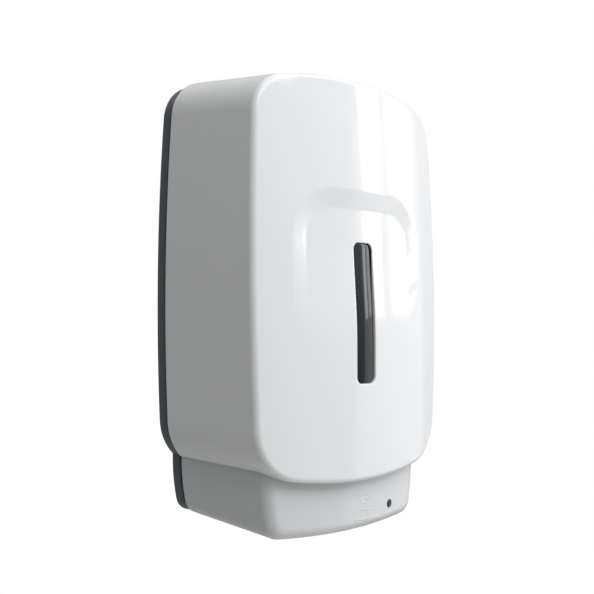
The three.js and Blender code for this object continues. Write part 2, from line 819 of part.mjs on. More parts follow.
const postRadius = 3.4;
const postAngles = [Math.PI * 0.78, Math.PI * 1.22];
const postReach = raceRadius + raceWall + postRadius - 1;
const posts = postAngles.map((angle) =>
  [pumpX + postReach * Math.cos(angle), pumpY + postReach * Math.sin(angle)]);
const pumpLeft = pumpX - raceRadius - raceWall - 6;
const pumpRight = motorX + motorRadius + 2;
const pumpFront = pumpY - raceRadius - raceWall - 2;
const pumpBack = pumpY + raceRadius + raceWall + 7;
const legs = [[pumpLeft + 4, pumpFront + 4], [pumpLeft + 4, pumpBack - 4],
  [pumpRight - 4, pumpFront + 4], [pumpRight - 4, pumpBack - 4]];

const leadX = 27;
const leadY = nozzleY + 7;

function makeDeck() {
  let deck = block(-far, far, -chinDepth + 9, -(plateCollar + 1.5), deckBottom, deckTop)
    .intersect(formBody(chinForm, chinWall + 0.8, chinWall + 0.8, coverRearY + 1))
    .add(disc(springX, springY, stopRadius, springTopZ, deckTop - 1, 16))
    .subtract(disc(pumpX, pumpY, rotorShaftRadius + gap, deckTop - 2, deckTop + 1))
    .subtract(disc(idlerX, idlerY, idlerPinRadius + gap, deckTop - 2, deckTop + 1))
    .subtract(disc(0, nozzleY, tubeRadius + tubeRoom, -far, 0))
    .subtract(disc(leadX, leadY, leadRadius + leadHole, -far, 0))
    .subtract(block(-latchHalfWidth - 1, springX + 4, -chinDepth, latchPlateY + gap, -far, 0));
  for (const side of [-1, 1]) {
    deck = deck.subtract(disc(side * ledgeX, ledgeY, screwRadius + screwRoom, -far, 0, 14));
  }
  return deck;
}

function makePumpHousing() {
  let housing = block(pumpLeft, pumpRight, pumpFront, pumpBack, pumpBaseZ, pumpFloorZ);
  const race = ring(pumpX, pumpY, raceRadius, raceRadius + raceWall, pumpBaseZ + 1, raceTopZ, 40)
    .subtract(block(pumpX + 2, far, -far, far, pumpFloorZ, 0));
  housing = housing.add(race);
  for (const [x, y] of legs) {
    housing = housing.add(disc(x, y, 3, deckTop + gap, pumpBaseZ + 1, 16));
  }
  for (const [x, y] of posts) {
    housing = housing.add(disc(x, y, postRadius, pumpBaseZ + 1, raceTopZ, 18)
      .subtract(disc(pumpX, pumpY, raceRadius, pumpFloorZ, 0, 40)))
      .subtract(disc(x, y, 1.3, raceTopZ - 6, 0, 14));
  }
  return housing
    .subtract(disc(pumpX, pumpY, rotorShaftRadius + gap, -far, 0))
    .subtract(disc(idlerX, idlerY, idlerPinRadius + gap, -far, pumpFloorZ - 0.6))
    .subtract(disc(motorX, motorY, 3.6, -far, 0))
    .subtract(disc(0, nozzleY, tubeRadius + tubeRoom, -far, 0))
    .subtract(block(-tubeBend + 1, 0, nozzleY - tubeRadius - tubeRoom,
      nozzleY + tubeRadius + tubeRoom, -far, 0));
}

function makePumpLid() {
  const z0 = raceTopZ + gap;
  const z1 = z0 + 1.8;
  let lid = disc(pumpX, pumpY, raceRadius + raceWall, z0, z1, 40);
  for (const [x, y] of posts) {
    lid = lid.add(disc(x, y, postRadius, z0, z1, 18));
  }
  for (const [x, y] of posts) {
    lid = lid.subtract(disc(x, y, screwRadius + 0.6, -far, 0, 14));
  }
  return lid.subtract(block(pumpX + 12, far, -far, far, -far, 0));
}

// ---------------------------------------------------------------- rotor, gears and motor

function gearOutline(x, y, teeth, module, phase) {
  const points = [];
  const pitch = 2 * Math.PI / teeth;
  const root = module * (teeth / 2 - teethClearance);
  const tip = module * (teeth / 2 + teethHeight);
  for (let i = 0; i < teeth; i++) {
    for (const [radius, offset] of [[root, -0.3], [tip, -0.12], [tip, 0.12], [root, 0.3]]) {
      const angle = phase + (i + offset) * pitch;
      points.push([x + radius * Math.cos(angle), y + radius * Math.sin(angle)]);
    }
  }
  return points;
}

function makeRotorGear() {
  return upright(gearOutline(pumpX, pumpY, rotorTeeth, finalModule, finalStageAngle),
    rotorGearZ, rotorGearZ + gearThickness)
    .subtract(disc(pumpX, pumpY, rotorShaftRadius + gap, -far, 0));
}

function makeIdler() {
  const smallPhase = finalStageAngle + Math.PI + Math.PI / smallTeeth;
  const small = gearOutline(idlerX, idlerY, smallTeeth, finalModule, smallPhase);
  const large = gearOutline(idlerX, idlerY, largeTeeth, motorModule, motorStageAngle);
  return upright(small, rotorGearZ, largeGearZ + 1)
    .add(upright(large, largeGearZ, largeGearZ + gearThickness - 0.6))
    .subtract(disc(idlerX, idlerY, idlerPinRadius + gap, -far, 0));
}

function makePinion() {
  const phase = motorStageAngle + Math.PI + Math.PI / pinionTeeth;
  return upright(gearOutline(motorX, motorY, pinionTeeth, motorModule, phase),
    largeGearZ - 0.2, largeGearZ + gearThickness - 0.4)
    .add(disc(motorX, motorY, motorShaftRadius, largeGearZ - 0.2,
      motorZ + motorBoreDepth - gap, 14));
}

function makeRotorHub() {
  const low = rollerZ - gap - rotorDisc;
  const high = rotorTopZ;
  const reach = rollerOrbit + rollerRadius - 1;
  const core = rollerOrbit - rollerRadius - 0.4;
  const bore = rotorShaftRadius + gap;
  let hub = turned([[0, high], [0, high - 1], [bore, high - 1], [bore, low], [reach, low],
    [reach, low + rotorDisc], [core, low + rotorDisc], [core, high - rotorDisc],
    [reach, high - rotorDisc], [reach, high]], pumpX, pumpY, 24);
  for (const [x, y] of rollerPlaces) {
    hub = hub.add(disc(x, y, rollerPinRadius, low + rotorDisc / 2, high - rotorDisc / 2, 12));
  }
  return hub;
}

const rollerPlaces = Array.from({ length: rollerCount }, (_, i) => {
  const angle = Math.PI / 3 + 2 * Math.PI * i / rollerCount;
  return [pumpX + rollerOrbit * Math.cos(angle), pumpY + rollerOrbit * Math.sin(angle)];
});

function makeMotorCan() {
  const bore = motorShaftRadius + gap;
  const boss = 3.2;
  const bevel = 1;
  return turned([[bore, motorZ], [boss, motorZ - 1.5], [boss, motorZ],
    [motorRadius, motorZ], [motorRadius, motorTopZ - bevel], [motorRadius - bevel, motorTopZ],
    [0, motorTopZ], [0, motorZ + motorBoreDepth], [bore, motorZ + motorBoreDepth]],
  motorX, motorY, 24);
}

// ---------------------------------------------------------------- tank and filler cap

// The tank's plan: straight back, round corners and a front that follows the cover's.
function tankPlan(inset) {
  const radius = frontRadius - (coverDepth - tankFront);
  const corner = tankCorner - inset;
  const centreY = -tankFront + radius;
  const half = tankHalfWidth - tankCorner;
  const lean = Math.asin(half / (radius - tankCorner));
  const frontCornerY = centreY - (radius - tankCorner) * Math.cos(lean);
  const points = [];
  const arc = (x, y, r, from, to, steps) => {
    for (let i = 0; i <= steps; i++) {
      const angle = from + (to - from) * i / steps;
      points.push([x + r * Math.cos(angle), y + r * Math.sin(angle)]);
    }
  };
  arc(half, -tankRear - tankCorner, corner, Math.PI / 2, 0, 5);
  arc(half, frontCornerY, corner, 0, -Math.PI / 2 + lean, 5);
  arc(0, centreY, radius - inset, -Math.PI / 2 + lean, -Math.PI / 2 - lean, 8);
  arc(-half, frontCornerY, corner, -Math.PI / 2 - lean, -Math.PI, 5);
  arc(-half, -tankRear - tankCorner, corner, Math.PI, Math.PI / 2, 5);
  return points.filter(([x, y], i) =>
    i === 0 || Math.hypot(x - points[i - 1][0], y - points[i - 1][1]) > 1e-3).reverse();
}

const socketRoom = 1;
const socketRadius = spoutRadius + socketRoom + socketWall;
const sealZ = socketBottomZ + socketWall + gap;

function makeTank() {
  const spoutZ = sealZ + sealHeight + gap;
  return upright(tankPlan(0), tankBottom, tankTop)
    .add(disc(0, capY, neckRadius, tankTop - 1, tankTop + neckHeight, 32))
    .add(disc(socketX, socketY, spoutRadius, spoutZ, tankBottom + 1, 28))
    .subtract(upright(tankPlan(tankWall), tankBottom + tankWall, tankTop - tankWall))
    .subtract(disc(0, capY, neckRadius - neckWall, tankTop - tankWall - 1, far, 32))
    .subtract(disc(socketX, socketY, spoutBore, -far, tankBottom + tankWall + 1, 24));
}

function makeCap() {
  const ceiling = capTopZ - capWall;
  const cap = turned([[0, ceiling], [neckRadius + 0.5, ceiling], [neckRadius + 0.5, capZ],
    [capRadius, capZ], [capRadius, capTopZ - 1], [capRadius - 1, capTopZ], [0, capTopZ]],
  0, capY, 28);
  const grip = capRadius - 4;
  return cap.add(block(-grip, grip, capY - 2.5, capY + 2.5, capTopZ - 0.5, capTopZ + capGrip));
}

function makeCapGasket() {
  const z = tankTop + neckHeight + gap;
  return ring(0, capY, neckRadius - 2.2, neckRadius, z, z + 0.6);
}

function makeSocket() {
  const top = sealZ + sealHeight + socketDepth;
  const floor = socketBottomZ + socketWall;
  const wallSide = boxRearY - 2;
  const cup = spoutRadius + socketRoom;
  return joined([
    turned([[nozzleBore, socketBottomZ], [socketRadius, socketBottomZ], [socketRadius, top],
      [cup, top], [cup, floor], [nozzleBore, floor]], socketX, socketY),
    block(socketX - bracketHalfWidth, socketX + bracketHalfWidth, socketY + socketRadius - 2.5,
      boxRearY, socketBottomZ, socketBottomZ + bracketThickness),
    block(socketX - bracketHalfWidth, socketX + bracketHalfWidth, wallSide, boxRearY,
      socketBottomZ - 8, top),
  ]);
}

function makeSeal() {
  return ring(socketX, socketY, spoutBore, spoutRadius, sealZ, sealZ + sealHeight);
}

// ---------------------------------------------------------------- soap tube and nozzle

const nozzleTopZ = deckTop - nozzleDrop;
const nozzleTipZ = chinFloorZ(nozzleY) - 0.5;
const flangeZ = chinFloorZ(nozzleY) + chinWall + 1.2;

function makeSoapTube() {
  const back = pumpY + tubeWrapRadius;
  const front = nozzleY;
  const top = socketBottomZ - gap;
  const inlet = new THREE.CatmullRomCurve3([
    vec(socketX, socketY, top),
    vec(socketX, socketY, top - 3.5),
    vec(socketX - 0.5, socketY + 5, tubeZ + 3),
    vec(socketX - 5, back - 1.5, tubeZ + 0.3),
    vec(pumpX + 8, back, tubeZ),
    vec(pumpX, back, tubeZ),
  ]);
  const wrap = new Turn(vec(pumpX, pumpY, tubeZ), vec(0, tubeWrapRadius, 0),
    vec(-tubeWrapRadius, 0, 0), Math.PI);
  const drop = new Turn(vec(-tubeBend, front, tubeZ - tubeBend), vec(0, 0, tubeBend),
    vec(tubeBend, 0, 0), Math.PI / 2);
  const route = new THREE.CurvePath();
  route.add(inlet);
  route.add(wrap);
  route.add(new THREE.LineCurve3(vec(pumpX, front, tubeZ), vec(-tubeBend, front, tubeZ)));
  route.add(drop);
  route.add(new THREE.LineCurve3(vec(0, front, tubeZ - tubeBend), vec(0, front,
    nozzleTopZ + gap)));
  return tube(route, tubeRadius, 56, 9);
}

function makeNozzle() {
  const stem = 2.9;
  return turned([[nozzleBore, nozzleTopZ], [stem, nozzleTopZ], [stem, nozzleTopZ - 8],
    [nozzleRadius, nozzleTopZ - 9], [nozzleRadius, flangeZ + 1.5], [nozzleFlange, flangeZ + 1.5],
    [nozzleFlange, flangeZ], [nozzleRadius, flangeZ], [nozzleRadius - 0.6, nozzleTipZ],
    [nozzleBore, nozzleTipZ]], 0, nozzleY);
}

function makeNozzleValve() {
  const z = nozzleTipZ + 1;
  return turned([[0, z], [nozzleBore - gap - 0.6, z], [nozzleBore - gap, z + 3],
    [nozzleBore - gap, z + 6], [nozzleBore - 0.9, z + 6], [nozzleBore - 0.9, z + 3], [0, z + 1.2]],
  0, nozzleY, 16);
}

// ---------------------------------------------------------------- battery box

function makeBatteryBox() {
  const x = boxHalfWidth;
  const innerX = x - boxWall;
  const innerRear = boxRearY - boxWall;
  const innerFront = boxFrontY + boxWall;
  let box = block(-x, x, boxFrontY, boxRearY, boxBottom, boxTop)
    .subtract(block(-innerX, innerX, innerFront, innerRear, boxBottom + boxWall, boxTop + 1));
  for (const side of [-1, 1]) {
    const x0 = side < 0 ? -x - 2 : x - 1;
    box = box.add(block(x0, x0 + 3, lidAxisY - 2.2, boxRearY, boxTop - 8, lidAxisZ + 2.2));
  }
  return box
    .subtract(block(-x - gap, x + gap, boxRearY - 5.5, 10, boxTop + 0.01, boxTop + 20))
    .subtract(across(circle(lidAxisY, lidAxisZ, lidPinRadius + gap, 16), -x - 10, x + 10));
}

const lidAxisY = boxRearY - 2;
const lidAxisZ = boxTop + gap + lidThickness / 2 + 0.4;

function makeBatteryLid() {
  const x = boxHalfWidth;
  const z0 = boxTop + gap;
  return block(-x, x, boxFrontY, lidAxisY, z0, z0 + lidThickness)
    .add(across(circle(lidAxisY, lidAxisZ, lidBarrelRadius, 16), -x, x))
    .add(across(circle(lidAxisY, lidAxisZ, lidPinRadius, 16), -x - 1.8, x + 1.8))
    .add(block(-6, 6, boxFrontY - 1.8, boxFrontY + 0.5, z0 - 4, z0 + lidThickness))
    .subtract(block(-7, 7, boxFrontY - gap, boxFrontY + 3, z0 - 6, z0 - 0.01));
}

const cellX = (i) => (i - (cellCount - 1) / 2) * cellPitch;

function makeCell(i) {
  const seat = 0.3;
  const up = i % 2 === 0;
  const z = up ? cellZ : cellZ + cellNubHeight;
  const bodyLength = cellLength - cellNubHeight + seat;
  const body = disc(cellX(i), cellY, cellRadius, z, z + bodyLength, 18);
  const nubZ = up ? z + bodyLength - seat : z + seat - cellNubHeight;
  return body.add(disc(cellX(i), cellY, cellNub, nubZ, nubZ + cellNubHeight, 12));
}

// A contact strip bridges the cells first to last.
function makeContact(first, last, z) {
  return block(cellX(first) - contactReach, cellX(last) + contactReach, cellY - contactHalfDepth,
    cellY + contactHalfDepth, z, z + contactThickness);
}

// ---------------------------------------------------------------- control board and sensor

const boardZ = deckTop + boardLift;
const boardY1 = -boardRear;
const boardY0 = boardY1 - boardLength;
const boardX1 = boardX + boardWidth;

function makeBoard() {
  const left = boardX + boardPostInset;
  const right = boardX1 - boardPostInset;
  const front = boardY0 + boardPostInset;
  const back = boardY1 - boardPostInset;
  let board = block(boardX, boardX1, boardY0, boardY1, boardZ, boardZ + boardThickness);
  for (const [x, y] of [[left, front], [left, back], [right, front], [right, back]]) {
    board = board.add(disc(x, y, boardPostRadius, deckTop + gap, boardZ + 0.5, 14));
  }
  return board;
}

const boardTop = boardZ + boardThickness + gap;
const onBoard = (x, y, width, depth, height) =>
  block(boardX + x, boardX + x + width, boardY0 + y, boardY0 + y + depth, boardTop,
    boardTop + height);

const sensorZ = chinFloorZ(nozzleY) + 12.5;
const sensorHeight = 7;
const eyeDepth = 5;

function makeSensorBlock() {
  const x0 = sensorX - sensorHalfLength + 0.5;
  const x1 = sensorX + sensorHalfLength - 0.5;
  const y0 = nozzleY - sensorHalfWidth + 0.5;
  const y1 = nozzleY + sensorHalfWidth - 0.5;
  let body = block(x0, x1, y0, y1, sensorZ, sensorZ + sensorHeight);
  for (const side of [-1, 1]) {
    body = body.subtract(disc(sensorX + side * eyeSpacing / 2, nozzleY, eyeRadius + 0.4,
      sensorZ - 1, sensorZ + eyeDepth, 18));
  }
  return body.add(block(x0, x1, y0, y0 + 2, sensorZ + sensorHeight - 1, ledgeTopZ));
}

function makeSensorEye(side) {
  const top = sensorZ + eyeDepth - 0.4;
  return turned([[0, sensorZ + 0.4], [eyeRadius - 0.4, sensorZ + 0.9], [eyeRadius, sensorZ + 2],
    [eyeRadius, top], [0, top]], sensorX + side * eyeSpacing / 2, nozzleY, 16);
}

// The light stands close behind its lens and follows the lens's rear face.
function makeStatusLight() {
  const behind = chinWall + statusLensDepth + gap;
  const y = -(chinForm.face(statusX) - behind);
  return forward(circle(statusX, statusZ, statusLightRadius, 14), y + 5, y - 1)
    .intersect(formBody(chinForm, behind, behind, chinRearY))
    .add(block(statusX - 3, statusX + 3, y + 4, y + 5.6, statusZ - 3, statusZ + 5));
}

// ---------------------------------------------------------------- power switch

const switchY = switchSetBack - chinDepth;
const switchZ = deckTop + gap;
const switchFloor = 2;
const knobHalfLength = 1.4;
const knobHalfWidth = 1;

function makeSwitchBody() {
  const slotX = knobHalfLength + switchTravel / 2 + 0.4;
  const slotY = knobHalfWidth + gap;
  return block(switchX - 6, switchX + 6, switchY - 2.8, switchY + 2.8, switchZ, switchZ + 5)
    .subtract(block(switchX - slotX, switchX + slotX, switchY - slotY, switchY + slotY,
      switchZ + switchFloor, switchZ + 6));
}

function makeSwitchKnob() {
  const z = switchZ + switchFloor + gap;
  const x = switchX - switchTravel / 2;
  return block(x - knobHalfLength, x + knobHalfLength, switchY - knobHalfWidth,
    switchY + knobHalfWidth, z, z + 5);
}

// ---------------------------------------------------------------- leads and screws

function lead(points) {
  const route = new THREE.CatmullRomCurve3(points.map(([x, y, z]) => vec(x, y, z)));
  return tube(route, leadRadius, 16, 8);
}

// A pan-head screw, head upwards, with its head seated at z.
function screw(x, y, z, length) {
  return turned([[0, z + screwHead], [0, z - length], [screwRadius, z - length],
    [screwRadius, z], [screwHeadRadius, z], [screwHeadRadius, z + 1.2],
    [screwHeadRadius - 0.6, z + screwHead]], x, y, 12);
}

function chinScrew(side) {
  return screw(0, 0, 0, housingScrewLength).rotate([-90, 0, 0])
    .translate([side * chinScrewX, -screwHead - 0.1, chinScrewZ]);
}

// ---------------------------------------------------------------- the assembly

const white = plastic('#eceef0', 0.18);
const slate = plastic('#3a3f44', 0.5);
const black = plastic('#15171a', 0.35);
const steel = metal('#b9bcc0', 0.3);
const nylon = plastic('#e9e6dc', 0.5);
const rubber = plastic('#2a2a2c', 0.8);
const copper = metal('#c98a5a', 0.35);

piece('back_plate', makePlate(), slate);
piece('front_cover', makeCover(), white);
piece('level_window', makeWindow(), clear('#1d2023', 0.85));
piece('lower_housing', makeChin(), white.clone());
piece('sensor_window', makeSensorWindow(), black);
piece('status_lens', makeStatusLens(), black.clone());
piece('status_light', makeStatusLight(), plastic('#d8e8d8', 0.3));
piece('cover_latch', makeLatch(), nylon);
piece('latch_spring', makeLatchSpring(), steel.clone());
for (const side of [-1, 1]) {
  const x = side * (hingeX - 1);
  piece(side < 0 ? 'hinge_pin_left' : 'hinge_pin_right',
    across(circle(hingeY, hingeZ, hingePinRadius, 18), x - 6, x + 6), steel);
}
piece('deck', makeDeck(), slate.clone());
piece('pump_housing', makePumpHousing(), nylon.clone());
piece('pump_lid', makePumpLid(), clear('#d9e4ea', 0.5));
piece('rotor_gear', makeRotorGear(), nylon.clone());
piece('rotor_shaft', disc(pumpX, pumpY, rotorShaftRadius, deckTop - 1.7, rotorTopZ - 1 - gap),
  steel.clone());
piece('rotor_hub', makeRotorHub(), nylon.clone());
rollerPlaces.forEach(([x, y], i) => {
  piece(`roller_${i + 1}`,
    ring(x, y, rollerBore, rollerRadius, rollerZ, rollerZ + rollerHeight, 20),
    plastic('#8d9297', 0.4));
});
piece('idler_gear', makeIdler(), nylon.clone());
piece('idler_pin', disc(idlerX, idlerY, idlerPinRadius, deckTop - 1.7, pumpFloorZ - 0.6 - gap, 16),
  steel.clone());
piece('motor_can', makeMotorCan(), steel.clone());
piece('motor_pinion', makePinion(), metal('#c9a24a', 0.35));
piece('soap_tube', makeSoapTube(), clear('#e6eef2', 0.6));
piece('nozzle', makeNozzle(), white.clone());
piece('nozzle_valve', makeNozzleValve(), rubber);
piece('tank', makeTank(), clear('#dfe8ec', 0.55));
piece('tank_socket', makeSocket(), slate.clone());
piece('socket_seal', makeSeal(), rubber.clone());
piece('filler_cap', makeCap(), plastic('#8fa9bb', 0.35));
piece('cap_gasket', makeCapGasket(), rubber.clone());
piece('battery_box', makeBatteryBox(), slate.clone());
piece('battery_lid', makeBatteryLid(), slate.clone());
for (let i = 0; i < cellCount; i++) {
  piece(`cell_${i + 1}`, makeCell(i), metal('#b08d4a', 0.35));
}
const lowContactZ = boxBottom + boxWall + gap;
const highContactZ = boxTop - contactThickness - gap;
piece('low_contact_1', makeContact(0, 1, lowContactZ), copper);
piece('low_contact_2', makeContact(2, 3, lowContactZ), copper.clone());
piece('high_contact_1', makeContact(0, 0, highContactZ), copper.clone());
piece('high_contact_2', makeContact(1, 2, highContactZ), copper.clone());
piece('high_contact_3', makeContact(3, 3, highContactZ), copper.clone());
piece('control_board', makeBoard(), plastic('#1f5a3a', 0.4));
piece('board_chip', onBoard(12, 16, 9, 9, 1.4), black.clone());
piece('board_capacitor', disc(boardX + 24, boardY0 + 31, 4, boardTop, boardTop + 9, 20),
  metal('#30343c', 0.4));
piece('sensor_block', makeSensorBlock(), black.clone());
piece('sensor_emitter', makeSensorEye(-1), clear('#e8f0ff', 0.8));
piece('sensor_receiver', makeSensorEye(1), clear('#20242c', 0.9));
piece('switch_body', makeSwitchBody(), black.clone());
piece('switch_knob', makeSwitchKnob(), plastic('#d8dadc', 0.4));
const batteryLeadX = 28;
const batteryLeadY = boxRearY - 2.3;
const batteryLeadEnd = boardX + 14;
piece('battery_lead', lead([
  [batteryLeadX, batteryLeadY, boxBottom - gap],
  [batteryLeadX, batteryLeadY, boxBottom - 10],
  [batteryLeadX + 6, batteryLeadY - 0.4, boardTop + 32],
  [batteryLeadEnd - 2, batteryLeadY - 1.4, boardTop + 10],
  [batteryLeadEnd, boardY1 + 1, boardTop + 6],
  [batteryLeadEnd, boardY1 - 4, boardTop + gap],
]), plastic('#a02020', 0.5));
const motorLeadReach = (motorRadius + 1.6) / Math.SQRT2;
const motorLeadEnd = [boardX + 4, -30];
piece('motor_lead', lead([
  [motorX + motorLeadReach, motorY + motorLeadReach, motorTopZ - 5],
  [motorX + motorLeadReach + 5, motorY + motorLeadReach, motorTopZ - 8],
  [boardX + 1, motorLeadEnd[1] + 6, boardTop + 14],
  [...motorLeadEnd, boardTop + 5],
  [...motorLeadEnd, boardTop + gap],
]), plastic('#2a4a9a', 0.5));
const sensorLeadY = nozzleY + 1.8;
const sensorLeadEnd = boardY0 + 10;
piece('sensor_lead', lead([
  [sensorX, sensorLeadY, sensorZ + sensorHeight + 0.2 + gap],
  [sensorX, sensorLeadY, deckBottom - 16],
  [leadX, leadY, deckBottom - 8],
  [leadX, leadY, deckTop + 3],
  [leadX + 2, leadY, boardTop + 2],
  [boardX + 4, sensorLeadEnd, boardTop + 2.5],
  [boardX + 4, sensorLeadEnd, boardTop + gap],
]), plastic('#d8d8d8', 0.5));
for (const side of [-1, 1]) {
  const word = side < 0 ? 'left' : 'right';
  piece(`housing_screw_${word}`, chinScrew(side), steel.clone());
  piece(`deck_screw_${word}`, screw(side * ledgeX, ledgeY, deckTop + gap, deckScrewLength),
    steel.clone());
}
posts.forEach(([x, y], i) => {
  piece(`pump_screw_${i + 1}`, screw(x, y, raceTopZ + gap + 1.8 + gap, 6), steel.clone());
});

export default dispenser;
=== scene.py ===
import json
from math import atan2, cos, hypot, pi, radians, sin, sqrt

import bmesh
import bpy
from mathutils import Matrix, Vector


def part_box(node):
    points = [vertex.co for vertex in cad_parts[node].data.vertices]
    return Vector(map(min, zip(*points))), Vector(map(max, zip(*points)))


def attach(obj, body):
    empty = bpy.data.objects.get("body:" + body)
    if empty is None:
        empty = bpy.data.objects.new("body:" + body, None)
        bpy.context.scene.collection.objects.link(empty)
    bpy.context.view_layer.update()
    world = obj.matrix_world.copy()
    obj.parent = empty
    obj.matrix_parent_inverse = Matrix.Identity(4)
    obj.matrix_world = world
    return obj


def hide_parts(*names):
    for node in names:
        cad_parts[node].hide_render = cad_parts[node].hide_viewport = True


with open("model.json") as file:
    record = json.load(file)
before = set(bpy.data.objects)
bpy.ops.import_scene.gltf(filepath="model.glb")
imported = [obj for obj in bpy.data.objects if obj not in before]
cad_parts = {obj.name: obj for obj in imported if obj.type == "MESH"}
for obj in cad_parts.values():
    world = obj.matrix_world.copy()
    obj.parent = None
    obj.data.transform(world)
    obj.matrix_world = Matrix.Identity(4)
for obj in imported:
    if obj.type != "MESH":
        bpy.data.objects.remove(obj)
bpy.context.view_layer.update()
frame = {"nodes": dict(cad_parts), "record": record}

# Touch-free soap dispenser for a bathroom wall. Shapes are drawn in millimetres and scaled
# to metres when a piece is finished. +Z is up, the front faces -Y and the wall is Y = 0.
MM = 0.001
cad_nodes = frame["nodes"]
body_of_node = {
    node: body for body, nodes in frame["record"]["behaviour"]["bodies"].items() for node in nodes
}
slot_of_node = {part["node"]: part["material_slot"] for part in frame["record"]["subparts"]}
drawn = set()    # the nodes whose piece is finished


# ---------------------------------------------------------------- sizes of the two shells

COVER = dict(half_width=80, half_height=113, mid_z=10, side=5.1, top=9.3, bottom=9.9,
             top_corner=24, bottom_corner=30)
COVER_REAR = dict(COVER, half_width=84, half_height=114.5, mid_z=12.5)
CHIN = dict(half_width=65, half_height=42.4, mid_z=-90, side=6, top=3, bottom=3,
            top_corner=10, bottom_corner=10)
CHIN_REAR = dict(CHIN, half_width=71, half_height=35)
COVER_DEPTH = 83.695
CHIN_DEPTH = 76.3
FRONT_RADIUS = 333
UPRIGHT_RADIUS = 2500
FRONT_LEAN = 0.028
COVER_EDGE = 2.8
CHIN_EDGE = 6
WALL = 2.5
SHELL_REAR_Y = -9.3
WINDOW_Z = -9
WINDOW_HALF = (8, 39.6)
WINDOW_CORNER = 4
HINGE_Y = -18
HINGE_Z = 116
HINGE_BORE = 2.3          # radius
HINGE_SWING = 14.8        # radius that the cover's rear sweeps
COVER_EAR_X = (34, 38)
PLATE_EAR_X = (40.3, 44.3)
WALL_HOLE_X = 50
KEYHOLE_Z = 62
KEYHOLE_RADIUS = 4.6      # passes a screw's head
KEYHOLE_SLOT = 2.4        # half width
KEYHOLE_TOP = 71.6        # where the slot's round end is centred
LOWER_HOLE_Z = -32
LOWER_HOLE_RADIUS = 3.1
HOUSING_HOLE = (53, -115, 1.8)

# The brow: a band that steps down into a panel, which rises back to the face lower down
BROW_HALF_WIDTH = 55
BROW_TOP = 50
BROW_CORNER = 30
BROW_BAND = 11
BROW_DEPTH = 2
BROW_BLEND = 0.4
BROW_FADE = (-34, 22)


def sag(offset, radius):
    return radius - sqrt(radius * radius - offset * offset)


def ease(value, low, high):
    t = min(max((value - low) / (high - low), 0), 1)
    return t * t * (3 - 2 * t)


def soft_ramp(value, width, blend):
    """0 before 0, 1 past width and straight between, with both bends rounded over blend."""
    def rounded(v):
        if v <= -blend:
            return 0
        if v >= blend:
            return v
        return (v + blend) ** 2 / (4 * blend)
    return (rounded(value) - rounded(value - width)) / width


def brow(x, z):
    up = z - COVER["mid_z"]
    across = abs(x) - (BROW_HALF_WIDTH - BROW_CORNER)
    above = up - (BROW_TOP - BROW_CORNER)
    inside = BROW_CORNER - hypot(max(across, 0), max(above, 0)) - min(max(across, above), 0)
    return BROW_DEPTH * ease(up, *BROW_FADE) * soft_ramp(inside, BROW_BAND, BROW_BLEND)


def cover_face(x, z):
    up = z - COVER["mid_z"]
    return COVER_DEPTH - FRONT_LEAN * up - sag(x, FRONT_RADIUS) - sag(up, UPRIGHT_RADIUS)


def chin_face(x, z):
    return CHIN_DEPTH - sag(x, FRONT_RADIUS)


def quarter(half_width, half_height, side, arch, corner, inset, counts):
    side_radius = (half_height ** 2 + side ** 2) / (2 * side)
    arch_radius = (half_width ** 2 + arch ** 2) / (2 * arch)
    side_x = half_width - side_radius
    arch_z = half_height - arch_radius
    a = side_radius - corner
    b = arch_radius - corner
    apart = hypot(side_x, arch_z)
    along = (a * a - b * b + apart * apart) / (2 * apart)
    beside = sqrt(a * a - along * along)
    corner_x = side_x - along * side_x / apart - beside * arch_z / apart
    corner_z = along * arch_z / apart - beside * side_x / apart
    arch_end = atan2(corner_z - arch_z, corner_x)
    side_end = atan2(corner_z, corner_x - side_x)
    arcs = [
        (0, arch_z, arch_radius - inset, pi / 2, arch_end, counts[0], 0),
        (corner_x, corner_z, max(corner - inset, 0.3), arch_end, side_end, counts[1], 0),
        (side_x, 0, side_radius - inset, side_end, 0, counts[2], 1),
    ]
    points = []
    for x, z, radius, start, end, count, last in arcs:
        for i in range(count + last):
            angle = start + (end - start) * i / count
            points.append((x + radius * cos(angle), z + radius * sin(angle)))
    return points


def barrel(form, inset, counts):
    """The whole outline as (x, z), clockwise from the top. inset moves every arc inwards."""
    size = form["half_width"], form["half_height"], form["side"]
    top = quarter(*size, form["top"], form["top_corner"], inset, counts)
    low = quarter(*size, form["bottom"], form["bottom_corner"], inset, counts)
    right = top + [(x, -z) for x, z in reversed(low[:-1])]
    left = [(-x, z) for x, z in reversed(right[1:-1])]
    return [(x, z + form["mid_z"]) for x, z in right + left]


def slot_outline(counts, grow=0.0):
    """The level window's outline, point for point with a barrel outline of those counts."""
    ends, bend, sides = counts
    radius = WINDOW_CORNER + grow
    flat = WINDOW_HALF[0] - WINDOW_CORNER
    straight = WINDOW_HALF[1] - WINDOW_CORNER
    top = [(flat * i / ends, straight + radius) for i in range(ends)]
    top += [(flat + radius * sin(pi / 2 * i / bend), straight + radius * cos(pi / 2 * i / bend))
            for i in range(bend)]
    top += [(flat + radius, straight * (1 - i / sides)) for i in range(sides + 1)]
    right = top + [(x, -z) for x, z in reversed(top[:-1])]
    left = [(-x, z) for x, z in reversed(right[1:-1])]
    return [(x, z + WINDOW_Z) for x, z in right + left]


# ---------------------------------------------------------------- shaping tools

def shape_from(bm, name="shape"):
    mesh = bpy.data.meshes.new(name)
    bm.to_mesh(mesh)
    bm.free()
    shape = bpy.data.objects.new(name, mesh)
    bpy.context.scene.collection.objects.link(shape)
    return shape


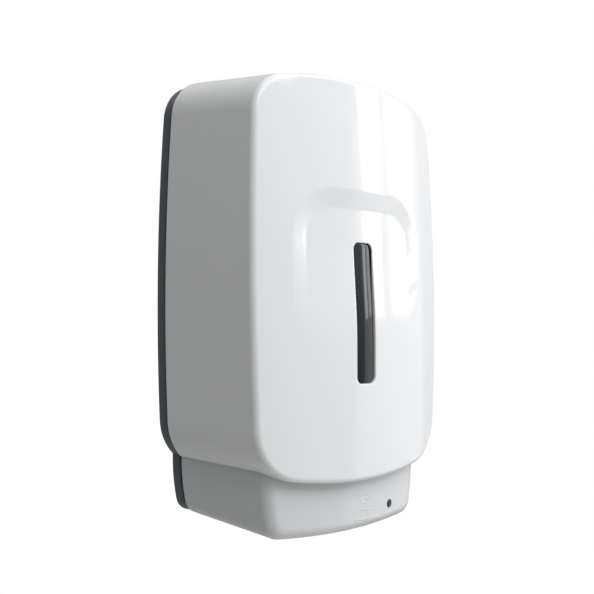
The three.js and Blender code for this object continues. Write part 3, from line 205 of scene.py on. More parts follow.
def swept(rings, closed=False):
    """A skin over rings of (x, y, z): a grid is laid on them and its seams are merged."""
    rows = len(rings) - (0 if closed else 1)
    columns = len(rings[0])
    bm = bmesh.new()
    grid = bmesh.ops.create_grid(bm, x_segments=columns, y_segments=rows, size=0.5)
    for vert in grid["verts"]:
        i = round((vert.co.x + 0.5) * columns) % columns
        k = round((vert.co.y + 0.5) * rows) % len(rings)
        vert.co = rings[k][i]
    bmesh.ops.remove_doubles(bm, verts=bm.verts, dist=1e-4)
    bmesh.ops.recalc_face_normals(bm, faces=bm.faces)
    return shape_from(bm)


def turned(profile, steps=48):
    """A turned piece about Z. profile is (radius, height) along its outside."""
    bm = bmesh.new()
    verts = [bm.verts.new((radius, 0, height)) for radius, height in profile]
    edges = [bm.edges.new(pair) for pair in zip(verts, verts[1:])]
    bmesh.ops.spin(bm, geom=verts + edges, cent=(0, 0, 0), axis=(0, 0, 1), angle=2 * pi,
                   steps=steps, use_merge=True, use_duplicate=False)
    bmesh.ops.remove_doubles(bm, verts=bm.verts, dist=1e-4)
    bmesh.ops.recalc_face_normals(bm, faces=bm.faces)
    return shape_from(bm)


def pressed(outline, y0, y1, bevel=0.0, segments=3):
    """A plate with its outline in (x, z), between two depths, with rounded rims."""
    bm = bmesh.new()
    face = bm.faces.new([bm.verts.new((x, y0, z)) for x, z in outline])
    raised = bmesh.ops.extrude_face_region(bm, geom=[face])["geom"]
    verts = [item for item in raised if isinstance(item, bmesh.types.BMVert)]
    bmesh.ops.translate(bm, vec=(0, y1 - y0, 0), verts=verts)
    bmesh.ops.recalc_face_normals(bm, faces=bm.faces)
    if bevel:
        caps = [f for f in bm.faces if len(f.verts) > 4]
        rims = list({edge for cap in caps for edge in cap.edges})
        bmesh.ops.bevel(bm, geom=rims, offset=bevel, segments=segments, profile=0.5,
                        affect="EDGES", material=-1, clamp_overlap=True)
    return shape_from(bm)


def rounded_block(low, high, bevel=0.0, segments=3):
    bm = bmesh.new()
    bmesh.ops.create_cube(bm, size=1)
    low, high = Vector(low), Vector(high)
    bmesh.ops.scale(bm, vec=high - low, verts=bm.verts)
    bmesh.ops.translate(bm, vec=(low + high) / 2, verts=bm.verts)
    if bevel:
        bmesh.ops.bevel(bm, geom=bm.edges[:], offset=bevel, segments=segments, profile=0.5,
                        affect="EDGES", material=-1, clamp_overlap=True)
    return shape_from(bm)


def moved(shape, vec=(0, 0, 0), turn=0, axis="X"):
    shape.data.transform(Matrix.Translation(vec) @ Matrix.Rotation(radians(turn), 4, axis))
    return shape


def on_hinge(shape):
    """Turns a shape drawn about Z onto the cover's hinge axis."""
    shape.data.transform(Matrix.Translation((0, HINGE_Y, HINGE_Z))
                         @ Matrix.Rotation(pi / 2, 4, "Y"))
    return shape


def side_on(shape):
    """Swaps X and Y, so that a pressed plate faces sideways."""
    shape.data.transform(Matrix(((0, 1, 0, 0), (1, 0, 0, 0), (0, 0, 1, 0), (0, 0, 0, 1))))
    shape.data.flip_normals()
    return shape


def worked(shape, cutters, operation="DIFFERENCE"):
    """Cuts or joins with each of the other shapes in turn, and keeps the result."""
    for cutter in cutters:
        step = shape.modifiers.new("work", "BOOLEAN")
        step.operation = operation
        step.solver = "EXACT"
        step.object = cutter
    ready = shape.evaluated_get(bpy.context.evaluated_depsgraph_get())
    mesh = bpy.data.meshes.new_from_object(ready)
    shape.modifiers.clear()
    shape.data = mesh
    for cutter in cutters:
        bpy.data.objects.remove(cutter)
    return shape


def wire(points, radius):
    """A round, smooth strand along the points."""
    curve = bpy.data.curves.new("strand", "CURVE")
    curve.dimensions = "3D"
    curve.bevel_depth = radius
    curve.bevel_resolution = 4
    curve.use_fill_caps = True
    spline = curve.splines.new("NURBS")
    spline.points.add(len(points) - 1)
    for point, place in zip(spline.points, points):
        point.co = (*place, 1)
    spline.order_u = 4
    spline.use_endpoint_u = True
    spline.resolution_u = 8
    strand = bpy.data.objects.new("strand", curve)
    bpy.context.scene.collection.objects.link(strand)
    ready = strand.evaluated_get(bpy.context.evaluated_depsgraph_get())
    mesh = bpy.data.meshes.new_from_object(ready)
    bpy.data.objects.remove(strand)
    shape = bpy.data.objects.new("strand", mesh)
    bpy.context.scene.collection.objects.link(shape)
    return shape


def together(shapes):
    """Several loose shapes as one."""
    bm = bmesh.new()
    for shape in shapes:
        bm.from_mesh(shape.data)
        bpy.data.objects.remove(shape)
    return shape_from(bm)


def fitted(shape, name, slot, body, nodes=(), sharp=32, finish=None):
    """Finishes a piece: shading, scale, material and the body that it rides on."""
    bm = bmesh.new()
    bm.from_mesh(shape.data)
    bmesh.ops.scale(bm, vec=(MM, MM, MM), verts=bm.verts)
    for face in bm.faces:
        face.smooth = True
        face.material_index = 0
    for edge in bm.edges:
        edge.smooth = edge.calc_face_angle(0) < radians(sharp)
    bm.to_mesh(shape.data)
    bm.free()
    shape.name = name
    shape.data.name = name
    shape.data.materials.clear()
    shape.data.materials.append(finishes[finish or slot])
    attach(shape, body)
    if nodes:
        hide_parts(*nodes)
        drawn.update(nodes)
    return shape


def own_mesh(node):
    """A copy of a node's own mesh in millimetres, with its vertices merged."""
    bm = bmesh.new()
    bm.from_mesh(cad_nodes[node].data)
    bmesh.ops.scale(bm, vec=(1 / MM, 1 / MM, 1 / MM), verts=bm.verts)
    bmesh.ops.remove_doubles(bm, verts=bm.verts, dist=0.002)
    return bm


def own_piece(bm, node, ending, sharp=32):
    return fitted(shape_from(bm), node + ending, slot_of_node[node], body_of_node[node], [node],
                  sharp)


def eased(node, width):
    """A node's own shape with its corners eased."""
    bm = own_mesh(node)
    bmesh.ops.dissolve_limit(bm, angle_limit=radians(1), verts=bm.verts, edges=bm.edges)
    corners = [edge for edge in bm.edges if edge.calc_face_angle(0) > radians(40)]
    bmesh.ops.bevel(bm, geom=corners, offset=width, segments=2, profile=0.5,
                    affect="EDGES", material=-1, clamp_overlap=True)
    return own_piece(bm, node, "_eased")


def centre(node):
    low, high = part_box(node)
    return (low + high) / 2 / MM


def reach(node):
    low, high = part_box(node)
    return low / MM, high / MM


def turned_at(node, profile, steps):
    """A turned piece that stands upright at a node's centre."""
    at = centre(node)
    return moved(turned(profile, steps), (at.x, at.y, 0))


# ---------------------------------------------------------------- surface effects

def effect(name, inputs, outputs):
    """An empty node group with named sockets. Returns it, its input node and its output node."""
    group = bpy.data.node_groups.new(name, "ShaderNodeTree")
    for label, kind, value in inputs:
        socket = group.interface.new_socket(name=label, in_out="INPUT", socket_type=kind)
        socket.default_value = value
    for label, kind in outputs:
        group.interface.new_socket(name=label, in_out="OUTPUT", socket_type=kind)
    return group, group.nodes.new("NodeGroupInput"), group.nodes.new("NodeGroupOutput")


def add(tree, kind, links=(), **settings):
    """Adds a node, sets its properties and links (socket, source) pairs into it."""
    node = tree.nodes.new(kind)
    for key, value in settings.items():
        setattr(node, key, value)
    for socket, source in links:
        if isinstance(source, bpy.types.NodeSocket):
            tree.links.new(source, node.inputs[socket])
        else:
            node.inputs[socket].default_value = source
    return node


FLOAT = "NodeSocketFloat"
COLOUR = "NodeSocketColor"


def make_moulded_skin():
    """Slow drift of tone and gloss, as in a moulded panel, over a fine even grain."""
    group, ins, outs = effect(
        "moulded_skin",
        [("Colour", COLOUR, (0.8, 0.8, 0.8, 1)), ("Drift", FLOAT, 0.03),
         ("Roughness", FLOAT, 0.2), ("Gloss Spread", FLOAT, 0.04), ("Grain Size", FLOAT, 1800.0)],
        [("Colour", COLOUR), ("Roughness", FLOAT), ("Height", FLOAT)])
    place = add(group, "ShaderNodeTexCoord").outputs["Object"]
    slow = add(group, "ShaderNodeTexNoise", [("Vector", place), ("Scale", 22.0), ("Detail", 2.0)])
    flow = add(group, "ShaderNodeTexNoise", [("Vector", place), ("Scale", 75.0), ("Detail", 3.0)])
    grain = add(group, "ShaderNodeTexNoise",
                [("Vector", place), ("Scale", ins.outputs["Grain Size"]), ("Detail", 2.0)])
    tone = add(group, "ShaderNodeMath", [(0, slow.outputs["Fac"]), (1, 0.5)], operation="SUBTRACT")
    amount = add(group, "ShaderNodeMath", [(0, tone.outputs[0]), (1, ins.outputs["Drift"])],
                 operation="MULTIPLY")
    value = add(group, "ShaderNodeMath", [(0, amount.outputs[0]), (1, 1.0)], operation="ADD")
    shaded = add(group, "ShaderNodeHueSaturation",
                 [("Color", ins.outputs["Colour"]), ("Value", value.outputs[0])])
    patch = add(group, "ShaderNodeMath", [(0, flow.outputs["Fac"]), (1, 0.5)],
                operation="SUBTRACT")
    spread = add(group, "ShaderNodeMath", [(0, patch.outputs[0]), (1, ins.outputs["Gloss Spread"]),
                                           (2, ins.outputs["Roughness"])],
                 operation="MULTIPLY_ADD")
    group.links.new(shaded.outputs["Color"], outs.inputs["Colour"])
    group.links.new(spread.outputs[0], outs.inputs["Roughness"])
    group.links.new(grain.outputs["Fac"], outs.inputs["Height"])
    return group


def make_worked_metal():
    """Fine lines left by turning or rolling, with a faint mottle."""
    group, ins, outs = effect(
        "worked_metal",
        [("Colour", COLOUR, (0.6, 0.6, 0.6, 1)), ("Roughness", FLOAT, 0.25),
         ("Line Size", FLOAT, 3000.0)],
        [("Colour", COLOUR), ("Roughness", FLOAT), ("Height", FLOAT)])
    place = add(group, "ShaderNodeTexCoord").outputs["Object"]
    stretch = add(group, "ShaderNodeMapping", [("Vector", place), ("Scale", (0.08, 0.08, 1.0))])
    lines = add(group, "ShaderNodeTexNoise",
                [("Vector", stretch.outputs[0]), ("Scale", ins.outputs["Line Size"])])
    mottle = add(group, "ShaderNodeTexNoise", [("Vector", place), ("Scale", 160.0)])
    rough = add(group, "ShaderNodeMath", [(0, mottle.outputs["Fac"]), (1, 0.16),
                                          (2, ins.outputs["Roughness"])],
                operation="MULTIPLY_ADD")
    value = add(group, "ShaderNodeMath", [(0, lines.outputs["Fac"]), (1, 0.16), (2, 0.92)],
                operation="MULTIPLY_ADD")
    shaded = add(group, "ShaderNodeHueSaturation",
                 [("Color", ins.outputs["Colour"]), ("Value", value.outputs[0])])
    group.links.new(shaded.outputs["Color"], outs.inputs["Colour"])
    group.links.new(rough.outputs[0], outs.inputs["Roughness"])
    group.links.new(lines.outputs["Fac"], outs.inputs["Height"])
    return group


def make_settled_dust():
    """A thin veil of dust on faces that look up, broken up by noise."""
    group, ins, outs = effect(
        "settled_dust",
        [("Colour", COLOUR, (0.5, 0.5, 0.5, 1)), ("Roughness", FLOAT, 0.4),
         ("Amount", FLOAT, 0.15)],
        [("Colour", COLOUR), ("Roughness", FLOAT)])
    upward = add(group, "ShaderNodeSeparateXYZ",
                 [(0, add(group, "ShaderNodeNewGeometry").outputs["Normal"])])
    place = add(group, "ShaderNodeTexCoord").outputs["Object"]
    cloud = add(group, "ShaderNodeTexNoise", [("Vector", place), ("Scale", 60.0), ("Detail", 5.0)])
    rise = add(group, "ShaderNodeMapRange",
               [("Value", upward.outputs["Z"]), ("From Min", 0.35), ("From Max", 1.0)])
    cover = add(group, "ShaderNodeMath", [(0, rise.outputs[0]), (1, cloud.outputs["Fac"])],
                operation="MULTIPLY")
    veil = add(group, "ShaderNodeMath", [(0, cover.outputs[0]), (1, ins.outputs["Amount"])],
               operation="MULTIPLY")
    mixed = group.nodes.new("ShaderNodeMix")
    mixed.data_type = "RGBA"
    group.links.new(veil.outputs[0], mixed.inputs["Factor"])
    group.links.new(ins.outputs["Colour"], mixed.inputs[6])
    mixed.inputs[7].default_value = (0.62, 0.6, 0.56, 1)
    rough = add(group, "ShaderNodeMath", [(0, veil.outputs[0]), (1, 0.6),
                                          (2, ins.outputs["Roughness"])],
                operation="MULTIPLY_ADD")
    group.links.new(mixed.outputs[2], outs.inputs["Colour"])
    group.links.new(rough.outputs[0], outs.inputs["Roughness"])
    return group


moulded_skin = make_moulded_skin()
worked_metal = make_worked_metal()
settled_dust = make_settled_dust()


def new_material(name):
    material = bpy.data.materials.new(name)
    material.use_nodes = True
    return material, material.node_tree, material.node_tree.nodes["Principled BSDF"]


def with_effect(tree, group, values):
    node = tree.nodes.new("ShaderNodeGroup")
    node.node_tree = group
    for socket, value in values.items():
        node.inputs[socket].default_value = value
    return node


def bump_from(tree, height, shader, strength, distance):
    bump = add(tree, "ShaderNodeBump",
               [("Height", height), ("Strength", strength), ("Distance", distance)])
    tree.links.new(bump.outputs["Normal"], shader.inputs["Normal"])


def coat(tree, layer, shader):
    """Links a layer's colour and roughness to the shader."""
    tree.links.new(layer.outputs["Colour"], shader.inputs["Base Color"])
    tree.links.new(layer.outputs["Roughness"], shader.inputs["Roughness"])


def plastic(name, colour, roughness, drift=0.03, spread=0.05, grain=1800.0, relief=0.1,
            dust=0.0, **sockets):
    material, tree, shader = new_material(name)
    skin = with_effect(tree, moulded_skin, {
        "Colour": (*colour, 1), "Drift": drift, "Roughness": roughness, "Gloss Spread": spread,
        "Grain Size": grain})
    last = skin
    if dust:
        last = with_effect(tree, settled_dust, {"Amount": dust})
        tree.links.new(skin.outputs["Colour"], last.inputs["Colour"])
        tree.links.new(skin.outputs["Roughness"], last.inputs["Roughness"])
    coat(tree, last, shader)
    bump_from(tree, skin.outputs["Height"], shader, relief, 0.00005)
    for socket, value in sockets.items():
        shader.inputs[socket.replace("_", " ")].default_value = value
    return material


def metal(name, colour, roughness):
    material, tree, shader = new_material(name)
    work = with_effect(tree, worked_metal,
                       {"Colour": (*colour, 1), "Roughness": roughness, "Line Size": 3000.0})
    coat(tree, work, shader)
    shader.inputs["Metallic"].default_value = 1.0
    bump_from(tree, work.outputs["Height"], shader, 0.12, 0.00004)
    return material


def cell_jacket():
    """A printed steel jacket: a warm band round the raised end over a dark sleeve."""
    material, tree, shader = new_material("cell_jacket")
    place = add(tree, "ShaderNodeTexCoord").outputs["Object"]
    height = add(tree, "ShaderNodeSeparateXYZ", [(0, place)])
    bands = add(tree, "ShaderNodeValToRGB")
    low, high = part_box("cell_1")
    along = add(tree, "ShaderNodeMapRange",
                [("Value", height.outputs["Z"]), ("From Min", low.z), ("From Max", high.z)])
    tree.links.new(along.outputs[0], bands.inputs["Fac"])
    bands.color_ramp.interpolation = "CONSTANT"
    bands.color_ramp.elements[0].color = (0.02, 0.022, 0.026, 1)
    bands.color_ramp.elements[1].position = 0.68
    bands.color_ramp.elements[1].color = (0.45, 0.2, 0.06, 1)
    skin = with_effect(tree, moulded_skin, {"Drift": 0.08, "Roughness": 0.3,
                                            "Gloss Spread": 0.1, "Grain Size": 900.0})
    tree.links.new(bands.outputs["Color"], skin.inputs["Colour"])
    coat(tree, skin, shader)
    shader.inputs["Metallic"].default_value = 0.5
    bump_from(tree, skin.outputs["Height"], shader, 0.05, 0.00005)
    return material


def smoked_pane():
    """Smoked plastic whose colour lightens towards the top of the window: a painted reflection of
    the near softbox, fading down the pane.
    """
    material, tree, shader = new_material("smoked_clear")
    place = add(tree, "ShaderNodeTexCoord").outputs["Object"]
    height = add(tree, "ShaderNodeSeparateXYZ", [(0, place)])
    low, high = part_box("level_window")
    level = add(tree, "ShaderNodeMapRange",
                [("Value", height.outputs["Z"]), ("From Min", low.z), ("From Max", high.z)])
    # Painted reflection: the pane's colour rises from near black at the bottom to a lighter grey
    # near the top.
    painted_reflection_ramp = add(tree, "ShaderNodeValToRGB", [("Fac", level.outputs[0])])
    painted_reflection_ramp.color_ramp.elements[0].color = (0.012, 0.013, 0.015, 1)
    painted_reflection_ramp.color_ramp.elements[1].position = 0.85
    painted_reflection_ramp.color_ramp.elements[1].color = (0.03, 0.033, 0.036, 1)
    skin = with_effect(tree, moulded_skin, {"Drift": 0.1, "Roughness": 0.06,
                                            "Gloss Spread": 0.03, "Grain Size": 700.0})
    tree.links.new(painted_reflection_ramp.outputs["Color"], skin.inputs["Colour"])
    coat(tree, skin, shader)
    shader.inputs["Transmission Weight"].default_value = 0.1
    shader.inputs["Specular IOR Level"].default_value = 0.4
    shader.inputs["IOR"].default_value = 1.49
    bump_from(tree, skin.outputs["Height"], shader, 0.015, 0.00005)
    return material


def circuit_board():
    """Green solder resist with raised tracks and bright pads."""
    material, tree, shader = new_material("circuit_board")
    place = add(tree, "ShaderNodeTexCoord").outputs["Object"]
    tracks = add(tree, "ShaderNodeTexBrick",
                 [("Vector", place), ("Color1", (0.012, 0.1, 0.045, 1)),
                  ("Color2", (0.016, 0.13, 0.055, 1)), ("Mortar", (0.03, 0.2, 0.09, 1)),
                  ("Scale", 110.0), ("Mortar Size", 0.035)])
    dots = add(tree, "ShaderNodeTexVoronoi", [("Vector", place), ("Scale", 190.0)])
    pads = add(tree, "ShaderNodeMath", [(0, dots.outputs["Distance"]), (1, 0.14)],
               operation="LESS_THAN")
    mixed = tree.nodes.new("ShaderNodeMix")
    mixed.data_type = "RGBA"
    tree.links.new(pads.outputs[0], mixed.inputs["Factor"])
    tree.links.new(tracks.outputs["Color"], mixed.inputs[6])
    mixed.inputs[7].default_value = (0.7, 0.68, 0.6, 1)
    skin = with_effect(tree, moulded_skin, {"Drift": 0.1, "Roughness": 0.28,
                                            "Gloss Spread": 0.08, "Grain Size": 1400.0})
    tree.links.new(mixed.outputs[2], skin.inputs["Colour"])
    coat(tree, skin, shader)
    bump_from(tree, tracks.outputs["Fac"], shader, 0.2, 0.0001)
    return material


finishes = {
    "white_shell": plastic("white_gloss_abs", (0.83, 0.84, 0.85), 0.085, drift=0.012,
                           spread=0.03, grain=900.0, relief=0.02, IOR=1.5),
    # A darker copy of the white shell's material, for the lower housing and its hand mark: painted
    # shade, standing for the shade that falls under the cover's overhang.
    "lower_shell": plastic("white_lower_abs", (0.69, 0.7, 0.71), 0.12, drift=0.012,
                           spread=0.03, grain=900.0, relief=0.02, IOR=1.5),
    "slate_plate": plastic("slate_satin_abs", (0.105, 0.122, 0.14), 0.42, drift=0.12,
                           spread=0.12, grain=2600.0, relief=0.35, dust=0.12),
    "smoked_window": smoked_pane(),
    "black_lens": plastic("infrared_black", (0.008, 0.008, 0.01), 0.06, drift=0.1, spread=0.03,
                          grain=700.0, relief=0.02, IOR=1.5),
    "light_pipe": plastic("milky_light_pipe", (0.62, 0.74, 0.62), 0.3, relief=0.05,
                          Transmission_Weight=0.4),
    "natural_nylon": plastic("natural_nylon", (0.76, 0.73, 0.65), 0.42, drift=0.08, spread=0.12,
                             grain=2200.0, relief=0.25, dust=0.08, Subsurface_Weight=0.1),
    "steel": metal("bright_steel", (0.62, 0.63, 0.65), 0.16),
    "clear_lid": plastic("clear_pump_lid", (0.82, 0.9, 0.94), 0.08, spread=0.04, relief=0.02,
                         Transmission_Weight=0.85, IOR=1.49),
    "grey_roller": plastic("grey_acetal", (0.27, 0.29, 0.31), 0.32, drift=0.08, spread=0.1,
                           relief=0.15),
    "brass": metal("turned_brass", (0.75, 0.55, 0.2), 0.2),
    "silicone_tube": plastic("translucent_silicone", (0.78, 0.82, 0.84), 0.35, drift=0.06,
                             spread=0.1, relief=0.1, Transmission_Weight=0.45, IOR=1.41),
    "tank_plastic": plastic("translucent_polyethylene", (0.8, 0.85, 0.87), 0.3, drift=0.06,
                            spread=0.1, grain=1200.0, relief=0.12, Subsurface_Weight=0.15),
    "black_rubber": plastic("black_rubber", (0.022, 0.022, 0.024), 0.62, drift=0.15,
                            spread=0.15, grain=2400.0, relief=0.4),
    "blue_cap": plastic("blue_grey_cap", (0.23, 0.36, 0.46), 0.3, drift=0.06, spread=0.1,
                        grain=1700.0, relief=0.15, dust=0.06),
    "cell_jacket": cell_jacket(),
    "contact_metal": metal("sprung_contact", (0.8, 0.55, 0.38), 0.22),
    "board_green": circuit_board(),
    "black_plastic": plastic("black_moulded", (0.014, 0.015, 0.017), 0.4, drift=0.15,
                             spread=0.15, grain=2600.0, relief=0.3),
    "clear_eye": plastic("clear_epoxy", (0.85, 0.92, 1.0), 0.05, relief=0.02,
                         Transmission_Weight=0.9, IOR=1.54),
    "switch_grey": plastic("light_grey_knob", (0.62, 0.64, 0.65), 0.36, spread=0.1, relief=0.2),
    "red_lead": plastic("red_insulation", (0.42, 0.02, 0.02), 0.36, drift=0.08, relief=0.1),
    "blue_lead": plastic("blue_insulation", (0.03, 0.09, 0.4), 0.36, drift=0.08, relief=0.1),
    "grey_lead": plastic("grey_insulation", (0.6, 0.6, 0.61), 0.38, drift=0.06, relief=0.1),
}


# ---------------------------------------------------------------- front cover

COVER_COUNTS = ((34, 30, 42))
FACE_RINGS = 124
SIDE_STEPS = (0.004, 0.012, 0.3, 0.65, 0.96, 0.99)


def shell_side(front, rear, face, edge, inset, counts, edge_steps):
    """Rings up the side and round the front edge, from the rear rim to the face."""
    radius = max(edge - inset, 0.8)
    rings = []
    for k in range(edge_steps + 1):
        angle = pi / 2 * k / edge_steps
        outline = barrel(front, inset + radius * (1 - cos(angle)), counts)
        rings.append([(x, -(face(x, z) - inset) + radius * (1 - sin(angle)), z)
                      for x, z in outline])
    rim = [(x, SHELL_REAR_Y, z) for x, z in barrel(rear, inset, counts)]
    side = [[tuple(a + (b - a) * t for a, b in zip(p, q)) for p, q in zip(rim, rings[0])]
            for t in SIDE_STEPS]
    return [rim] + side + rings


def cover_shell():
    outside = shell_side(COVER, COVER_REAR, cover_face, COVER_EDGE, 0, COVER_COUNTS, 8)
    inside = shell_side(COVER, COVER_REAR, cover_face, COVER_EDGE, WALL, COVER_COUNTS, 4)
    lip = 0.5
    edge_of_slot = slot_outline(COVER_COUNTS, lip)
    rim = [(x, z) for x, y, z in outside[-1]]
    for k in range(FACE_RINGS):
        t = 0.008 if k == 0 else k / (FACE_RINGS - 1)
        ring = []
        for (ax, az), (bx, bz) in zip(rim, edge_of_slot):
            x, z = ax + (bx - ax) * t, az + (bz - az) * t
            ring.append((x, -(cover_face(x, z) - brow(x, z)), z))
        outside.append(ring)
    for turn in (30, 60, 90):
        angle = radians(turn)
        outline = slot_outline(COVER_COUNTS, lip * (1 - sin(angle)))
        outside.append([(x, -(cover_face(x, z) - brow(x, z)) + lip * (1 - cos(angle)), z)
                        for x, z in outline])
    back_of_slot = slot_outline(COVER_COUNTS)
    inner_rim = [(x, z) for x, y, z in inside[-1]]
    back = []
    for k in range(9):
        t = k / 9
        ring = []
        for (ax, az), (bx, bz) in zip(back_of_slot, inner_rim):
            x, z = ax + (bx - ax) * t, az + (bz - az) * t
            ring.append((x, -(cover_face(x, z) - WALL), z))
        back.append(ring)
    return swept(outside + back + inside[::-1], closed=True)


def chin_block(grow):
    """The lower housing's outer shape as a solid, to cut its passage through the cover."""
    rings = shell_side(CHIN, CHIN_REAR, chin_face, CHIN_EDGE, -grow, (10, 8, 8), 5)
    rings[0] = [(x, 0, z) for x, y, z in rings[0]]
    middle_back = [(0, 0, CHIN["mid_z"])] * len(rings[0])
    front = rings[-1]
    middle = (0, -(CHIN_DEPTH + grow), CHIN["mid_z"])
    faces = [[(p[0] * t, -(chin_face(p[0] * t, 0) + grow), middle[2] + (p[2] - middle[2]) * t)
              for p in front] for t in (0.8, 0.6, 0.4, 0.2, 0.0)]
    return swept([middle_back] + rings + faces)


def hinge_ear(x0, x1):
    points = [(HINGE_Y + 4.2 * cos(pi + pi * i / 24), HINGE_Z + 4.2 * sin(pi + pi * i / 24))
              for i in range(25)]
    points += [(HINGE_Y + 4.6, HINGE_Z + 7.4), (HINGE_Y - 6, HINGE_Z + 7.4)]
    return side_on(pressed(points, x0, x1, 0.4))


def hinge_bore(reach_x):
    profile = [(0, -reach_x), (HINGE_BORE, -reach_x), (HINGE_BORE, reach_x), (0, reach_x)]
    return on_hinge(turned(profile, 32))


cover = worked(cover_shell(), [chin_block(1.0)])
fitted(cover, "cover_moulding", "white_shell", "cover", ["front_cover"], sharp=30)
for side, word in ((-1, "left"), (1, "right")):
    ear = worked(hinge_ear(*sorted(x * side for x in COVER_EAR_X)), [hinge_bore(50)])
    fitted(ear, f"cover_hinge_ear_{word}", "white_shell", "cover")
catch_low, catch_high = -102.3, -96.8
fitted(rounded_block((-8, -78.8, catch_low), (8, -77.3, catch_high), 0.3), "cover_catch_rib",
       "white_shell", "cover")


def window_pane():
    """The smoked pane: a bowed face that follows the brow, on a flange behind the slot."""
    counts = (5, 7, 22)
    clearance = 0.3
    bow = 0.7
    half_width = WINDOW_HALF[0] - clearance
    straight = WINDOW_HALF[1] - WINDOW_HALF[0]

    def flange(grow, depth):
        return [(x, -(cover_face(x, z) - depth), z) for x, z in slot_outline(counts, grow)]

    def narrowed(depth, grow=0.0, width=1.0, bowed=True):
        """The outline drawn in towards the slot's middle line, on the face or behind it."""
        points = []
        for x, z in slot_outline(counts, grow - clearance):
            along = max(-straight, min(straight, z - WINDOW_Z))
            x, z = x * width, WINDOW_Z + along + (z - WINDOW_Z - along) * width
            sunk = depth
            if bowed:
                sunk += brow(x, z) + bow * (x / half_width) ** 2
            points.append((x, -(cover_face(x, z) - sunk), z))
        return points

    face = [narrowed(0.45, -0.5, width) for width in (1, 0.86, 0.7, 0.5, 0.3, 0.14, 0)]
    return swept([narrowed(4.6, width=0, bowed=False), flange(2, 4.6), flange(2, 3.3),
                  flange(-clearance, 3.3), narrowed(0.75), narrowed(0.55, -0.2)] + face)


fitted(window_pane(), "level_window_pane", "smoked_window", "cover", ["level_window"], sharp=50)


# ---------------------------------------------------------------- lower housing

CHIN_COUNTS = ((30, 16, 22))
CHIN_TOP = -85
FAR_BELOW = -150
LEDGE_TOP = -93.5    # cuts through the floor end here


def chin_shell():
    def side(inset, steps):
        rings = shell_side(CHIN, CHIN_REAR, chin_face, CHIN_EDGE, inset, CHIN_COUNTS, steps)
        front = rings[-1]
        mid = CHIN["mid_z"]
        for t in (0.98, 0.85, 0.7, 0.55, 0.4, 0.25, 0.1, 0.0):
            rings.append([(p[0] * t, -(chin_face(p[0] * t, 0) - inset), mid + (p[2] - mid) * t)
                          for p in front])
        return rings
    return swept(side(WALL, 4)[::-1] + side(0, 10))


nozzle_at = centre("nozzle")
sensor_low, sensor_high = reach("sensor_window")
lens_at = centre("status_lens")


def bore_down(x, y, radius):
    profile = [(0, FAR_BELOW), (radius, FAR_BELOW), (radius, LEDGE_TOP), (0, LEDGE_TOP)]
    return moved(turned(profile, 40), (x, y, 0))


def bore_back(x, z, radius, y0, y1):
    hole = turned([(0, -y0), (radius, -y0), (radius, -y1), (0, -y1)], 40)
    return moved(hole, (x, 0, z), 90, "X")


chin = chin_shell()
notch = rounded_block((-7, -82, -101.6), (7, -70.3, -60))
chin = worked(chin, [rounded_block((-150, -150, CHIN_TOP), (150, 50, 20)), notch])
openings = [
    bore_down(nozzle_at.x, nozzle_at.y, 4.9),
    rounded_block((-5.3, -66.3, FAR_BELOW), (5.3, -61.2, LEDGE_TOP)),
    rounded_block((sensor_low.x - 0.3, sensor_low.y - 0.3, FAR_BELOW),
                  (sensor_high.x + 0.3, sensor_high.y + 0.3, -122.5)),
    bore_back(lens_at.x, lens_at.z, 2.6, -60, -90),
]
chin = worked(chin, openings)
# The lower housing takes the darker copy of the white shell: painted shade.
fitted(chin, "chin_moulding", "white_shell", "frame", ["lower_housing"], 30, "lower_shell")


def hand_mark():
    """A plain low sign for an open hand under three ripples, by the sensor."""
    x0, z0 = 9.5, -120
    thickness, sunk = 0.42, 0.2
    strokes = []
    for k in range(3):
        radius = 2.6 + 2.2 * k
        strokes.append([(x0 - 1 + radius * sin(radians(a)), z0 + 0.4 + radius * cos(radians(a)))
                        for a in range(-42, 43, 7)])
    palm = [(-9.5, -2.4), (-6.6, -1.2), (-3.4, -0.6), (-1.2, -1.4), (0.8, -2.0), (4.2, -1.6),
            (4.9, -2.3), (4.4, -3.0), (1.0, -3.5), (5.0, -3.9), (8.9, -2.0), (9.4, -2.9),
            (6.2, -5.5), (2.4, -6.8), (-3.0, -6.9), (-9.5, -6.2)]
    strokes.append([(x0 + x, z0 + z) for x, z in palm])
    shapes = []
    for stroke in strokes:
        path = [(x, -(chin_face(x, z) - sunk), z) for x, z in stroke]
        shapes.append(wire(path, thickness))
    return together(shapes)


# The hand mark takes the same darker copy of the white shell: painted shade.
fitted(hand_mark(), "hand_mark", "white_shell", "frame", (), 60, "lower_shell")

lens = turned([(0, 0), (2.3, 0), (2.3, 3.2), (1.9, 3.6), (1.0, 3.85), (0, 3.9)], 40)
moved(lens, (lens_at.x, reach("status_lens")[0].y + 3.9, lens_at.z), 90, "X")
fitted(lens, "status_lens_dome", "black_lens", "frame", ["status_lens"])

nozzle_low, nozzle_high = reach("nozzle")
nozzle_tip = turned_at("nozzle", [
    (2.2, nozzle_high.z), (2.9, nozzle_high.z), (2.9, nozzle_high.z - 8),
    (4.6, nozzle_high.z - 9), (4.6, nozzle_low.z + 5.3), (6.5, nozzle_low.z + 5.3),
    (6.5, nozzle_low.z + 4.2), (4.6, nozzle_low.z + 4.2), (4.35, nozzle_low.z + 0.8),
    (4.0, nozzle_low.z + 0.2), (3.4, nozzle_low.z), (2.7, nozzle_low.z + 0.1),
    (2.2, nozzle_low.z + 0.6), (2.2, nozzle_high.z)], 56)
fitted(nozzle_tip, "nozzle_spout", "white_shell", "frame", ["nozzle"])


# ---------------------------------------------------------------- wall plate

PLATE_COUNTS = (20, 14, 16)


def plate_layer(inset, y0, y1, bevel):
    return pressed(barrel(COVER_REAR, inset, PLATE_COUNTS), y0, y1, bevel)


def chin_layer(inset, y0, y1, bevel):
    return pressed(barrel(CHIN_REAR, inset, (10, 10, 10)), y0, y1, bevel)


